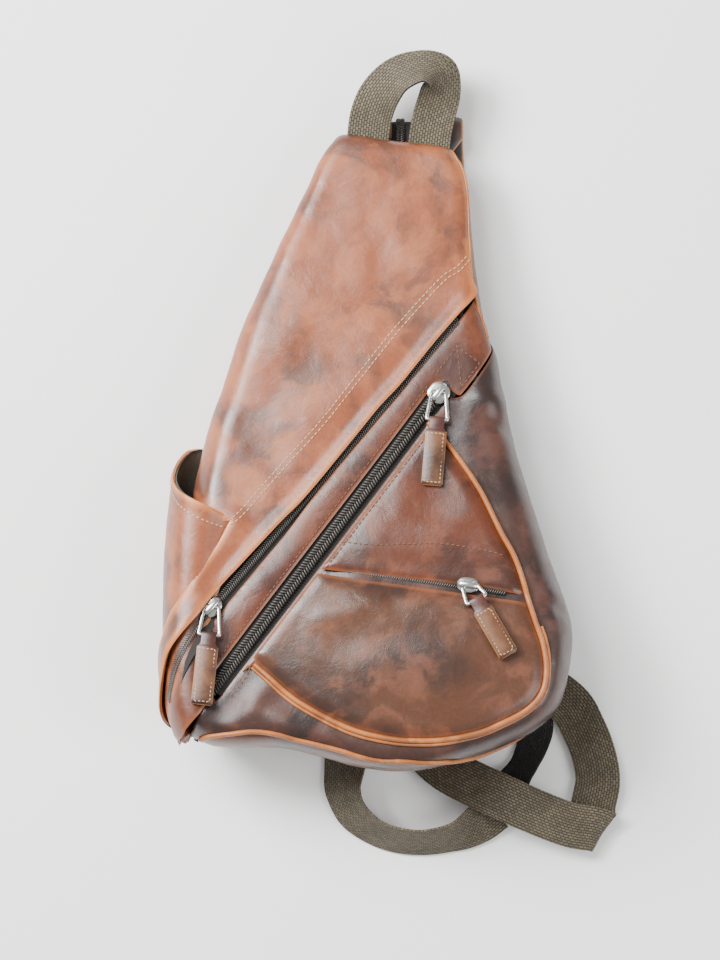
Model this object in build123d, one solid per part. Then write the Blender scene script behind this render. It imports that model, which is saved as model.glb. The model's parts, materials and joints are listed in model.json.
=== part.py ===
"""Leather sling backpack, lying on its back with its front face up.

+Z is up out of the front, +Y runs to the carrying handle and +X to the wearer's left.
Every sub-part is written to its own STEP file. All sizes are millimetres.
"""

import math
import os

from build123d import *

# ---------------------------------------------------------------- driving sizes
# bag body
bag_width = 260.0  # across the widest part of the teardrop
bag_length = 421.0  # bottom seam to the corner of the top seam
depth_bottom = 88.0  # back panel to front face at the bottom seam
depth_top = 26.0  # the same at the top seam
leather = 2.0
back_pad = 5.0  # padded back panel
front_inset = 8.0  # how far the front seam lies inside the widest outline
back_inset = 14.0  # the same for the back seam

# shoulder straps
strap_width = 38.0
strap_thickness = 7.0
strap_centre_x = 19.0
strap_end_y = 105.0
strap_fold_y = 424.0
strap_fold_gap = 7.0
strap_top_start_y = 404.0

# webbing
webbing_width = 30.0
webbing_thickness = 1.6
black_webbing_width = 22.0
handle_width = 28.0
anchor_thickness = 1.2
buckle_thickness = 3.2

# zips
tape_thickness = 0.8
tape_width = 9.0  # each half
big_coil_row, big_coil_height = 3.3, 3.0
small_coil_row, small_coil_height = 2.4, 2.4
neck_thickness = 1.2
slider_plate = 1.4
slider_length = 13.0
bridge_width, bridge_bar, bridge_reach = 3.0, 1.4, 2.6
ring_wire = 1.7
ring_lift = 3.5  # how far the ring's far bar stands above its bridge
long_ring, short_ring = 19.0, 12.0
tab_width, tab_thickness = 14.5, 3.4

# front pocket
pocket_height = 5.0
piping_size = 4.4
pocket_beside_zip = 1.5

# side pocket
pocket_gape = 14.0

# clearances
fit = 0.3  # between pieces of different bodies
seam = 0.05  # between sewn neighbours
slider_side = 0.75  # leather edge to slider

# ---------------------------------------------------------------- teardrop outline
# shares of the bag's width and length, from its bottom middle
LEFT_SIDE = [(-0.065, 1.0), (-0.135, 0.955), (-0.231, 0.824), (-0.335, 0.689), (-0.404, 0.549),
             (-0.454, 0.428), (-0.488, 0.297), (-0.496, 0.178), (-0.477, 0.095), (-0.415, 0.043)]
BOTTOM = [(-0.415, 0.043), (-0.269, 0.030), (-0.115, 0.012), (0.038, 0.0), (0.192, 0.010),
          (0.327, 0.043), (0.442, 0.081), (0.485, 0.128)]
RIGHT_SIDE = [(0.485, 0.128), (0.500, 0.228), (0.462, 0.304), (0.423, 0.378), (0.373, 0.485),
              (0.319, 0.641), (0.269, 0.765), (0.250, 0.891), (0.196, 0.979)]
TOP = [(0.196, 0.979), (-0.065, 1.0)]

back_z = strap_thickness + fit  # underside of the back panel
wall_base = back_z + back_pad  # where the side walls start


def front_z(y):
    """Height of the front face's outer surface."""
    return back_z + depth_bottom + (depth_top - depth_bottom) * y / bag_length


front_tilt = math.atan((depth_bottom - depth_top) / bag_length)
front_normal = Vector(0, math.sin(front_tilt), math.cos(front_tilt))
plate_drop = leather / math.cos(front_tilt) + seam / 2  # front face to the top of the walls


def wall_z(y, share):
    """Height at a share of the wall, from the back panel (0) to the front panels (1)."""
    return wall_base + share * (front_z(y) - plate_drop - wall_base)


def inset_side(points, before, after, distance):
    """Move one side's points inward, along the bisector of their neighbours."""
    moved = []
    for i, (x, y) in enumerate(points):
        x0, y0 = points[i - 1] if i else before
        x1, y1 = points[i + 1] if i < len(points) - 1 else after
        step = distance(x, y) if callable(distance) else distance
        along = math.hypot(x1 - x0, y1 - y0)
        moved.append((x - step * (y1 - y0) / along, y + step * (x1 - x0) / along))
    return moved


def outline_points(distance):
    """The four sides of the teardrop, anticlockwise, moved inward by a distance."""
    sides = [[(x * bag_width, y * bag_length) for x, y in side]
             for side in (LEFT_SIDE, BOTTOM, RIGHT_SIDE, TOP)]
    result = []
    for i, side in enumerate(sides):
        before = sides[i - 1][-2]
        after = sides[(i + 1) % 4][1]
        result.append(inset_side(side, before, after, distance))
    return result


def outline_wire(distance, height):
    """The teardrop as a wire of four edges, at a height that depends on y."""
    edges = []
    for side in outline_points(distance):
        points = [(x, y, height(y)) for x, y in side]
        edges.append(Line(*points) if len(points) == 2 else Spline(*points))
    return Wire(edges)


def wall_loft(levels):
    """A solid through teardrops at (share of wall, inset) levels."""
    wires = [outline_wire(inset, lambda y, s=share: wall_z(y, s)) for share, inset in levels]
    return Solid.make_loft(wires, ruled=True)


WALL = [(0.0, back_inset), (0.2, 3.0), (0.5, 0.0), (0.82, 2.0), (1.0, front_inset)]


def wall_solid(extra):
    """The filled wall, moved inward by an extra distance."""
    return wall_loft([(share, inset + extra) for share, inset in WALL])


def on_face(x, y, height=0.0):
    """A point at a height above the front face, measured along its normal."""
    return Vector(x, y, front_z(y)) + front_normal * height


def prism(points, low=-50.0, high=250.0):
    """An upright prism over a polygon."""
    base = Face(Wire.make_polygon([(x, y, low) for x, y in points], close=True))
    return Solid.extrude(base, Vector(0, 0, high - low))


def face_plate(wire, thickness):
    """A plate under a closed wire that lies in the front face."""
    return Solid.extrude(Face(wire), front_normal * -thickness)


nodes = {}
# ---------------------------------------------------------------- leather body
outer_wall = wall_solid(0.0)
walls = outer_wall - wall_solid(leather)

bottom_left = (LEFT_SIDE[-1][0] * bag_width, LEFT_SIDE[-1][1] * bag_length)
bottom_right = (RIGHT_SIDE[0][0] * bag_width, RIGHT_SIDE[0][1] * bag_length)
top_right = (TOP[0][0] * bag_width, TOP[0][1] * bag_length)
top_left = (TOP[1][0] * bag_width, TOP[1][1] * bag_length)
middle = (0.0, bag_length * 0.4)
upper_middle = (strap_centre_x, bag_length * 0.8)


def beyond(corner, centre, factor=1.6):
    """A point past a corner, seen from a centre."""
    return tuple(c + (p - c) * factor for p, c in zip(corner, centre))


far = bag_length * 2
left_wedge = [middle, upper_middle, beyond(top_left, upper_middle), (-far, far), (-far, -far),
              beyond(bottom_left, middle)]
right_wedge = [middle, beyond(bottom_right, middle), (far, -far), (far, far),
               beyond(top_right, upper_middle), upper_middle]
bottom_wedge = [middle, beyond(bottom_left, middle), (-far, -far), (far, -far),
                beyond(bottom_right, middle)]
top_wedge = [upper_middle, beyond(top_right, upper_middle), (far, far), (-far, far),
             beyond(top_left, upper_middle)]
nodes["left_gusset"] = walls & prism(left_wedge)
nodes["right_gusset"] = walls & prism(right_wedge)
nodes["bottom_gusset"] = walls & prism(bottom_wedge)
nodes["top_gusset"] = walls & prism(top_wedge)
nodes["back_panel"] = Solid.extrude(
    Face(outline_wire(back_inset, lambda y: back_z)), Vector(0, 0, back_pad))


def ruled_strip(stations, corners):
    """A closed solid of flat triangles through one ring of corners per station."""
    rings = [corners(i) for i in range(len(stations))]
    count = len(rings[0])
    triangles = [(rings[0][0], rings[0][k], rings[0][k + 1]) for k in range(1, count - 1)]
    triangles += [(rings[-1][0], rings[-1][k + 1], rings[-1][k]) for k in range(1, count - 1)]
    for ring, following in zip(rings, rings[1:]):
        for k in range(count):
            a, b = ring[k], ring[(k + 1) % count]
            c, d = following[(k + 1) % count], following[k]
            triangles += [(a, c, b), (a, d, c)]
    faces = [Face(Wire.make_polygon(triangle, close=True)) for triangle in triangles]
    return Solid(Shell(faces))

# ---------------------------------------------------------------- zip tracks
# each runs from its slider's head end down to the left, on the front face
flap_zip_ends = [(0.223 * bag_width, 0.710 * bag_length), (-0.429 * bag_width, 0.236 * bag_length)]
main_zip_ends = [(0.196 * bag_width, 0.612 * bag_length), (-0.402 * bag_width, 0.128 * bag_length)]
pocket_zip_ends = [(0.346 * bag_width, 0.280 * bag_length), (-0.075 * bag_width, 0.316 * bag_length)]


def track(ends, height):
    """The plane of a zip: x along it from its upper end, z out of the face; and its length."""
    start, end = (on_face(x, y, height) for x, y in ends)
    return Plane(origin=start, x_dir=end - start, z_dir=front_normal), (end - start).length


def local_box(plane, x, y, z):
    """A box given by its ranges in a plane's own axes."""
    size = [high - low for low, high in (x, y, z)]
    centre = [(high + low) / 2 for low, high in (x, y, z)]
    return plane.location * Location(centre) * Box(*size)


def half_space(plane, low, high):
    """Everything between two distances below a zip (its local y points down its face)."""
    return local_box(plane, (-far, far), (low, high), (-far / 8, far / 8))


def slider_half(row):
    """Half the width of a slider that runs on rows of this width."""
    return neck_thickness / 2 + fit + row + fit + 1.0


def slot_half(row):
    return slider_half(row) + slider_side


def zip_slot(plane, length, row, depth):
    """Cut-out for a zip: open along the coil, and a cut seam beyond both ends."""
    half = slot_half(row)
    cut = local_box(plane, (0, length), (-half, half), (-depth, depth))
    line = local_box(plane, (-far, far), (-seam, seam), (-depth, depth))
    return cut + line


flap_zip, flap_zip_length = track(flap_zip_ends, 0)
main_zip, main_zip_length = track(main_zip_ends, 0)
pocket_zip, pocket_zip_length = track(pocket_zip_ends, pocket_height)

front = face_plate(outline_wire(front_inset, front_z), leather)
front = front - zip_slot(flap_zip, flap_zip_length, small_coil_row, 30)
front = front - zip_slot(main_zip, main_zip_length, big_coil_row, 30)
nodes["upper_front_panel"] = front & half_space(flap_zip, -far, 0)
nodes["diagonal_strip"] = front & half_space(flap_zip, 0, far) & half_space(main_zip, -far, 0)
nodes["lower_front_panel"] = front & half_space(main_zip, 0, far)

# ---------------------------------------------------------------- front pocket
POCKET = [(0.155, 0.512), (0.273, 0.435), (0.354, 0.337), (0.390, 0.268), (0.427, 0.204),
          (0.432, 0.135), (0.373, 0.093), (0.273, 0.064), (0.171, 0.051), (0.069, 0.051),
          (-0.031, 0.064), (-0.131, 0.093), (-0.219, 0.128), (-0.290, 0.168)]


def pocket_wire(distance):
    points = [(x * bag_width, y * bag_length) for x, y in reversed(POCKET)]
    moved = inset_side(points, points[0], points[-1], distance)
    curve = Spline(*[on_face(x, y) for x, y in moved])
    return Wire([curve, Line(curve @ 1, curve @ 0)])


def pocket_block(distance, low, high):
    block = Solid.extrude(Face(pocket_wire(distance)), front_normal * (high - low))
    return block.moved(Location(front_normal * low))


# the pocket's straight edge is sewn beside the main zip, clear of its slider
pocket_edge = slot_half(big_coil_row) + pocket_beside_zip
beside_zip = half_space(main_zip, pocket_edge, far)
hollow_beside_zip = half_space(main_zip, pocket_edge + leather, far)
pocket_hollow = pocket_block(leather, -1, pocket_height - leather) & hollow_beside_zip
pocket_shell = (pocket_block(0.0, seam, pocket_height) & beside_zip) - pocket_hollow
pocket_shell -= zip_slot(pocket_zip, pocket_zip_length, small_coil_row, leather + seam)
above_pocket_zip = half_space(pocket_zip, -far, 0)
nodes["pocket_top_panel"] = pocket_shell & above_pocket_zip
nodes["pocket_front_panel"] = pocket_shell - above_pocket_zip
piping = pocket_block(-piping_size - seam, seam, piping_size) - pocket_block(-seam, -1, 30)
nodes["pocket_piping"] = piping & beside_zip


# ---------------------------------------------------------------- zips
def bent_ring(length, top_width, low_width, wire):
    """A puller ring in its own plane: its bar on the y axis at x=0, its far bar at x=length."""
    corners = [(0, -top_width / 2), (length, -low_width / 2), (length, low_width / 2),
               (0, top_width / 2)]
    ring = None
    for (x0, y0), (x1, y1) in zip(corners, corners[1:] + corners[:1]):
        run = math.hypot(x1 - x0, y1 - y0)
        bar = Plane(origin=(x0, y0, 0), z_dir=(x1 - x0, y1 - y0, 0)).location * Cylinder(
            wire / 2, run, align=(Align.CENTER, Align.CENTER, Align.MIN))
        ball = Pos(x0, y0, 0) * Sphere(wire / 2)
        ring = bar + ball if ring is None else ring + bar + ball
    return ring


def build_zip(name, plane, length, row, height, parked, tab_turn, tab_length,
              ring_length=long_ring, short=(0, 0)):
    """One closed zip: tapes, coil rows, slider, puller ring, leather tab and end stops.

    short is how far the slider stops before each end of its coil.
    """
    half = slider_half(row)
    gap = neck_thickness / 2 + fit
    tape_top = -leather - seam
    tape_low = tape_top - tape_thickness
    coil_top = tape_top + height
    ends = (1.5, length - 1.5)
    nodes[name + "_tape"] = Compound([
        local_box(plane, ends, (side * gap, side * (gap + tape_width))[::side], (tape_low, tape_top))
        for side in (1, -1)])
    nodes[name + "_coil"] = Compound([
        local_box(plane, (4.5, length - 4.5), (side * gap, side * (gap + row))[::side],
                  (tape_top, coil_top))
        for side in (1, -1)])
    nodes[name + "_stops"] = Compound([
        local_box(plane, (x, x + 2.0), (-gap - row, gap + row), (tape_top, coil_top))
        for x in (2.0, length - 4.0)])

    # slider: two plates joined by a neck that runs between the rows
    low = parked - slider_length / 2
    high = parked + slider_length / 2
    plate_low = coil_top + fit
    plate_top = plate_low + slider_plate
    slider = local_box(plane, (low, high), (-half, half), (plate_low, plate_top))
    slider += local_box(plane, (low, high), (-half, half),
                        (tape_low - fit - slider_plate, tape_low - fit))
    slider += local_box(plane, (low, low + 4.0), (-neck_thickness / 2, neck_thickness / 2),
                        (tape_low - fit - slider_plate, plate_top))
    for side in (1, -1):
        slider += local_box(plane, (low, high), (side * (half - 0.9), side * half)[::side],
                            (tape_top + fit, plate_top))
    bar_z = plate_top + fit + ring_wire / 2
    bridge_top = bar_z + ring_wire / 2 + fit
    bar = plane.from_local_coords(Vector(parked, 0, bar_z))
    down = Vector(*tab_turn)
    down = (down - front_normal * down.dot(front_normal)).normalized()
    bridge = Plane(origin=plane.from_local_coords(Vector(parked, 0, 0)), x_dir=down,
                   z_dir=front_normal)
    outer = bridge_reach + bridge_bar
    across = (-bridge_width / 2, bridge_width / 2)
    slider += local_box(bridge, (-outer, -bridge_reach), across, (plate_top, bridge_top))
    slider += local_box(bridge, (bridge_reach, outer), across, (plate_top, bridge_top))
    slider += local_box(bridge, (-outer, outer), across, (bridge_top, bridge_top + bridge_bar))
    nodes[name + "_slider"] = slider

    # the ring's plane: x towards the tab, leaning up off the face
    hinge_axis = front_normal.cross(down)
    rise = math.asin(ring_lift / ring_length)
    lean = down * math.cos(rise) + front_normal * math.sin(rise)
    ring_plane = Plane(origin=bar, x_dir=lean, z_dir=lean.cross(hinge_axis))
    nodes[name + "_ring"] = ring_plane.location * bent_ring(ring_length, 8.5, 12.5, ring_wire)
    low_bar = bar + lean * ring_length

    # leather tab: a folded strip round the ring's far bar, lying flat
    tab_plane = Plane(origin=low_bar, x_dir=down, z_dir=front_normal)
    inner = 12.5 - ring_wire - 2 * fit
    bore = ring_wire / 2 + 0.1
    tab = local_box(tab_plane, (-tab_thickness / 2 + 0.4, 7.0), (-inner / 2, inner / 2),
                    (-tab_thickness / 2, tab_thickness / 2))
    tab += local_box(tab_plane, (5.0, tab_length), (-tab_width / 2, tab_width / 2),
                     (-tab_thickness / 2, tab_thickness / 2))
    tab -= Plane(origin=low_bar, z_dir=hinge_axis).location * Cylinder(bore, tab_width + 4)
    nodes[name + "_tab"] = tab
    return {"bar": bar, "hinge": hinge_axis, "tab_bar": low_bar, "along": plane.x_dir,
            "travel": (low - 5.0 - short[0], length - 5.0 - high - short[1])}


def sight(degrees):
    """A direction in the plan, in degrees clockwise from straight down."""
    angle = math.radians(degrees)
    return (-math.sin(angle), -math.cos(angle), 0)


flap_parked = flap_zip_length - 11.5
main_parked = 12.0
pocket_parked = 28.0
flap_stops_short = 45.0  # its pull stays clear of the main zip's pull, parked beside it
main_stops_short = 27.0  # and the other way round
zips = {
    "flap_zip": build_zip("flap_zip", flap_zip, flap_zip_length, small_coil_row,
                          small_coil_height, flap_parked, sight(5), 46.0,
                          short=(flap_stops_short, 0)),
    "main_zip": build_zip("main_zip", main_zip, main_zip_length, big_coil_row,
                          big_coil_height, main_parked, sight(4), 44.0,
                          short=(0, main_stops_short)),
    "pocket_zip": build_zip("pocket_zip", pocket_zip, pocket_zip_length, small_coil_row,
                            small_coil_height, pocket_parked, sight(-28), 42.0, short_ring),
}

# ---------------------------------------------------------------- lining
lining_gap, lining_thickness = 1.0, 0.8
lining_levels = [(0.03, back_inset), (0.2, 3.0), (0.5, 0.0), (0.82, 2.0)]
lining_inner = [(0.04, back_inset), (0.2, 3.0), (0.5, 0.0), (0.82, 2.0), (0.9, 3.5)]
lining_outer = leather + lining_gap
nodes["main_lining"] = wall_loft([(s, i + lining_outer) for s, i in lining_levels]) - wall_loft(
    [(s, i + lining_outer + lining_thickness) for s, i in lining_inner])

# ---------------------------------------------------------------- side pocket
side_pocket_low = 0.055 * bag_length
side_pocket_mouth = 0.508 * bag_length
side_pocket_front_mouth = 0.40 * bag_length
side_pocket_notch = wall_z(side_pocket_mouth, 0.45)  # where the mouth starts to slope forward


def gape(share, gap):
    """How far the side pocket stands out at a height up the wall."""
    swell = math.sin(math.pi * min(max((share - 0.08) / 0.86, 0), 1))

    def distance(x, y):
        along = (y - side_pocket_low) / (side_pocket_mouth - side_pocket_low)
        return -(gap + pocket_gape * swell * min(max(along, 0), 1.2))
    return distance


def side_pocket_solid(gap):
    levels = [0.08, 0.28, 0.5, 0.72, 0.94]
    bulge = {0.08: 9.5, 0.28: 2.2, 0.5: 0.0, 0.72: 1.4, 0.94: 6.0}
    wires = []
    for share in levels:
        out = gape(share, gap)
        wires.append(outline_wire(lambda x, y, o=out, b=bulge[share]: o(x, y) + b,
                                  lambda y, s=share: wall_z(y, s)))
    return Solid.make_loft(wires, ruled=True)


pocket_keep = Plane.YZ * make_face(Polyline(
    (side_pocket_low, 0), (side_pocket_mouth, 0), (side_pocket_mouth, side_pocket_notch),
    (side_pocket_front_mouth, 120), (side_pocket_low, 120), close=True))
pocket_keep = extrude(pocket_keep, -bag_width)
nodes["side_pocket_panel"] = (
    (side_pocket_solid(leather + fit) - side_pocket_solid(fit)) - wall_solid(-seam)) & pocket_keep


# ---------------------------------------------------------------- shoulder straps
def strap_profile(outset, thickness):
    """The folded strap's side view, in Y and Z: along the floor, round the fold and back."""
    bottom = outset
    top = 2 * strap_thickness + strap_fold_gap - outset
    centre = strap_thickness + strap_fold_gap / 2
    outer = centre - bottom
    run = make_face(Polyline((strap_end_y, bottom), (strap_fold_y, bottom),
                             (strap_fold_y, bottom + thickness),
                             (strap_end_y, bottom + thickness), close=True))
    back = make_face(Polyline((strap_top_start_y, top - thickness), (strap_fold_y, top - thickness),
                              (strap_fold_y, top), (strap_top_start_y, top), close=True))
    bend = Pos(strap_fold_y, centre) * (Circle(outer) - Circle(outer - thickness))
    bend = bend & Pos(strap_fold_y + outer, centre) * Rectangle(2 * outer, 2 * outer)
    return Plane.YZ * (run + back + bend)


def strap_piece(outset, thickness, x0, x1):
    piece = extrude(strap_profile(outset, thickness), x1 - x0).moved(Location((x0, 0, 0)))
    return piece - outer_wall_clear


outer_wall_clear = wall_solid(-seam)
strap_gap = slider_half(small_coil_row) + slider_side
half_gap = neck_thickness / 2 + fit
strap_left_x = (strap_centre_x - strap_gap - strap_width, strap_centre_x - strap_gap)
strap_right_x = (strap_centre_x + strap_gap, strap_centre_x + strap_gap + strap_width)
strap_tape_low = 3.8
tape_reach = 5.0
tape_blocks = {}
for side, (x0, x1) in {"left": strap_left_x, "right": strap_right_x}.items():
    direction = -1 if side == "left" else 1
    inner_x = strap_centre_x + direction * half_gap
    outer_x = strap_centre_x + direction * (strap_gap + tape_reach)
    coil_x = inner_x + direction * small_coil_row
    tape = strap_piece(strap_tape_low, tape_thickness, *sorted((inner_x, outer_x)))
    slot = strap_piece(strap_tape_low - seam, tape_thickness + 2 * seam,
                       *sorted((inner_x, outer_x + direction * seam)))
    nodes["shoulder_strap_" + side] = strap_piece(0.0, strap_thickness, x0, x1) - slot
    tape_blocks[side] = tape
    nodes["strap_zip_coil_" + side] = strap_piece(
        strap_tape_low - small_coil_height, small_coil_height - 0.01, *sorted((inner_x, coil_x)))
nodes["strap_zip_tape"] = Compound(list(tape_blocks.values()))

strap_slider_y = strap_end_y + 14.0
slider_x = (strap_centre_x - slider_half(small_coil_row), strap_centre_x + slider_half(small_coil_row))
slider_y = (strap_slider_y - slider_length / 2, strap_slider_y + slider_length / 2)
strap_plate = 0.9
coil_low = strap_tape_low - small_coil_height
lower_plate = (coil_low - fit - strap_plate + 0.1, coil_low - fit)
upper_plate = (strap_tape_low + tape_thickness + fit, strap_tape_low + tape_thickness + fit + strap_plate)
neck_x = (strap_centre_x - neck_thickness / 2, strap_centre_x + neck_thickness / 2)
strap_slider = local_box(Plane.XY, slider_x, slider_y, lower_plate)
strap_slider += local_box(Plane.XY, slider_x, slider_y, upper_plate)
strap_slider += local_box(Plane.XY, neck_x, (slider_y[0], slider_y[0] + 4.0),
                          (lower_plate[0], upper_plate[1]))
nodes["strap_zip_slider"] = strap_slider


# ---------------------------------------------------------------- webbing
def ribbon(stations, width, thickness):
    """A flat strap through stations: its middle point, and the direction across it."""
    sections = []
    for i, (point, across) in enumerate(stations):
        before = Vector(*stations[max(i - 1, 0)][0])
        after = Vector(*stations[min(i + 1, len(stations) - 1)][0])
        along = (after - before).normalized()
        across = Vector(*across)
        across = (across - along * across.dot(along)).normalized()
        half = across * (width / 2)
        thick = along.cross(across) * (thickness / 2)
        middle_point = Vector(*point)
        sections.append([middle_point - half - thick, middle_point + half - thick,
                         middle_point + half + thick, middle_point - half + thick])
    return ruled_strip(stations, lambda i: sections[i])


def spread(stations):
    """Smooth stations: a point on the curve halfway between each two chosen ones."""
    denser = []
    last = len(stations) - 1
    for i in range(last):
        quad = [stations[max(0, min(last, i + k))] for k in (-1, 0, 1, 2)]
        halfway = [tuple((-a + 9 * b + 9 * c - d) / 16 for a, b, c, d in
                         zip(*(q[part] for q in quad))) for part in (0, 1)]
        denser += [stations[i], tuple(halfway)]
    return denser + [stations[-1]]


seam_rise = back_z + 18.3  # where the handle's webbing leaves the top seam
handle_hinge = Vector(strap_centre_x, 0.993 * bag_length, seam_rise)
handle_axis = Vector(*top_right, 0) - Vector(*top_left, 0)
handle_route = [
    ((-3, bag_length + 1.6, seam_rise), (1, -0.13, 0)),
    ((-1, bag_length + 11, seam_rise + 1), (1, -0.06, 0.05)),
    ((5, bag_length + 24, seam_rise + 6), (0.85, 0.3, 0.3)),
    ((14, bag_length + 36, seam_rise + 12), (0.6, 0.35, 0.75)),
    ((28, bag_length + 42, seam_rise + 15), (0.25, 0.3, 1.0)),
    ((40, bag_length + 36, seam_rise + 13), (-0.35, 0.45, 0.9)),
    ((44, bag_length + 24, seam_rise + 8), (-0.75, 0.3, 0.6)),
    ((42, bag_length + 8, seam_rise + 2), (-1, 0.12, 0.2)),
    ((38.5, bag_length - 5.8, seam_rise), (-1, 0.13, 0)),
]
nodes["handle_loop"] = ribbon(spread(handle_route), handle_width, webbing_thickness)

under_bag = 3.6  # height of webbing that lies under the back panel
left_loop_route = [
    ((-14, 32, under_bag), (1, 0.05, 0)),
    ((-14.5, 22, under_bag), (1, 0.05, 0)),
    ((-16, 12, 5.0), (0.97, 0, 0.15)),
    ((-18, 0, 8.5), (0.9, 0, 0.45)),
    ((-19, -15, 11.8), (0.8, 0.1, 0.65)),
    ((-12, -31, 13.0), (0.55, 0.5, 0.75)),
    ((6, -46, 13.5), (0.15, 0.6, 0.8)),
    ((30, -51, 13.5), (0, 0.58, 0.82)),
    ((54, -47, 12.5), (-0.25, 0.6, 0.75)),
    ((71, -38, 9.5), (-0.55, 0.65, 0.5)),
    ((81.4, -27.8, 7.0), (-0.8, 0.5, 0.2)),
]
nodes["left_webbing"] = ribbon(spread(left_loop_route), webbing_width, webbing_thickness)

buckle_length = 16.0
right_buckle_y = strap_end_y - fit - buckle_length / 2
left_strap_x = strap_centre_x - strap_gap - strap_width / 2
right_strap_x = strap_centre_x + strap_gap + strap_width / 2
right_route = [
    ((left_strap_x, right_buckle_y - buckle_length / 2 - fit, under_bag), (1, 0, 0)),
    ((left_strap_x, right_buckle_y - buckle_length / 2 - 4, under_bag), (1, 0, 0)),
    ((left_strap_x, right_buckle_y - buckle_length / 2 - 8, under_bag), (1, 0, 0)),
    ((-1, 66, under_bag), (0.92, 0.35, 0)),
    ((8, 52, under_bag), (0.9, 0.42, 0)),
    ((22, 30, under_bag), (0.85, 0.52, 0)),
    ((36, 12, 4.6), (0.8, 0.6, 0)),
    ((49, 0, 11), (0.66, 0.75, 0)),
    ((66, -9, 20), (0.5, 0.86, 0.05)),
    ((86, -18, 25), (0.46, 0.88, 0.08)),
    ((108, -28, 21), (0.46, 0.87, 0.1)),
    ((131, -37, 16), (0.48, 0.87, 0.1)),
    ((147, -40, 13.5), (0.53, 0.85, 0.05)),
    ((153.5, -42, 9), (0.57, 0.82, 0)),
    ((148.5, -37, 4.5), (0.6, 0.8, 0)),
    ((147.5, -26, 4.5), (0.8, 0.58, 0.1)),
    ((150.5, -8, 7), (0.95, 0.2, 0.25)),
    ((147.5, 10, 9), (0.95, 0.2, 0.3)),
    ((140.5, 27.5, 8), (0.95, 0.28, 0.22)),
    ((131, 43, 5.5), (0.85, 0.5, 0.05)),
    ((108, 60, 4.9), (0.65, 0.76, 0)),
]
nodes["right_webbing"] = ribbon(spread(right_route), webbing_width, webbing_thickness)

black_route = [
    ((right_strap_x, strap_end_y - fit, under_bag), (1, 0, 0)),
    ((right_strap_x, strap_end_y - 4, under_bag), (1, 0, 0)),
    ((right_strap_x, strap_end_y - 8, under_bag), (1, 0, 0)),
    ((54, 86, 3.0), (0.75, 0.65, 0)),
    ((74, 72, 2.0), (0.62, 0.78, 0)),
    ((95, 56, 1.8), (0.66, 0.75, 0)),
    ((108, 40, 1.8), (0.85, 0.5, 0)),
    ((110, 27, 2.8), (0.95, 0.05, 0.04)),
    ((107, 15, 6.5), (0.8, -0.2, 0.4)),
    ((102, 4, 10), (0.65, -0.3, 0.6)),
    ((97, -4, 11), (0.65, -0.35, 0.55)),
    ((93.6, -9.8, 9.5), (0.8, -0.45, 0.2)),
]
nodes["black_webbing"] = ribbon(spread(black_route), black_webbing_width, webbing_thickness)


def ladder_buckle(centre, along, across, width):
    """A moulded ladder-lock: a frame with two slots, each wide enough for the webbing."""
    across = Vector(*across)
    plane = Plane(origin=Vector(*centre), x_dir=across, z_dir=across.cross(Vector(*along)))
    rail, side_room = 2.4, 1.0
    opening = width + 2 * side_room
    frame = Box(opening + 2 * rail, buckle_length, buckle_thickness)
    slot = (buckle_length - 3 * rail) / 2
    for y in (-(slot + rail) / 2, (slot + rail) / 2):
        frame -= Pos(0, y, 0) * Box(opening, slot, buckle_thickness + 2)
    return plane.location * frame


nodes["left_buckle"] = ladder_buckle((88, -18.3, 8.2), (0.52, 0.85, 0.1), (0.85, -0.52, 0),
                                     black_webbing_width)
nodes["right_buckle"] = ladder_buckle((left_strap_x, right_buckle_y, under_bag), (0, 1, 0),
                                      (1, 0, 0), webbing_width)
tab_gap = webbing_thickness / 2 + 0.1
nodes["left_anchor_tab"] = local_box(
    Plane(origin=(-13.5, 31, under_bag + tab_gap), x_dir=(1, 0.05, 0)), (-17, 17), (-8, 8),
    (0, anchor_thickness))
nodes["right_anchor_tab"] = local_box(
    Plane(origin=(106, 61, 4.9 + tab_gap), x_dir=(0.65, 0.76, 0)), (-17, 17), (-5, 5),
    (0, anchor_thickness))

# ---------------------------------------------------------------- origin and files
everything = Compound([shape for shape in nodes.values()]).bounding_box()
shift = Vector(-(everything.min.X + everything.max.X) / 2,
               -(everything.min.Y + everything.max.Y) / 2, -everything.min.Z)

if __name__ == "__main__":
    os.makedirs("parts", exist_ok=True)
    for name, shape in nodes.items():
        solids = [solid.moved(Location(shift)) for solid in shape.solids()]
        export_step(solids[0] if len(solids) == 1 else Compound(solids), f"parts/{name}.step")
        print(name, len(solids), round(sum(solid.volume for solid in solids)),
              "lowest", round(min(solid.bounding_box().min.Z for solid in solids), 3))
    print("shift", shift, "size", everything.size)
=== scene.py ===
# %% [markdown]
# # A leather sling backpack
# The imported CAD model is the fixed frame. Every visible piece below is built around it, in metres,
# and rides on one of its bodies. First come the frame and a helper for the box around a CAD part.
# %% the frame
import json
import math

import bmesh
import bpy
import numpy as np
from mathutils import Matrix, Vector, geometry, noise


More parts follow.
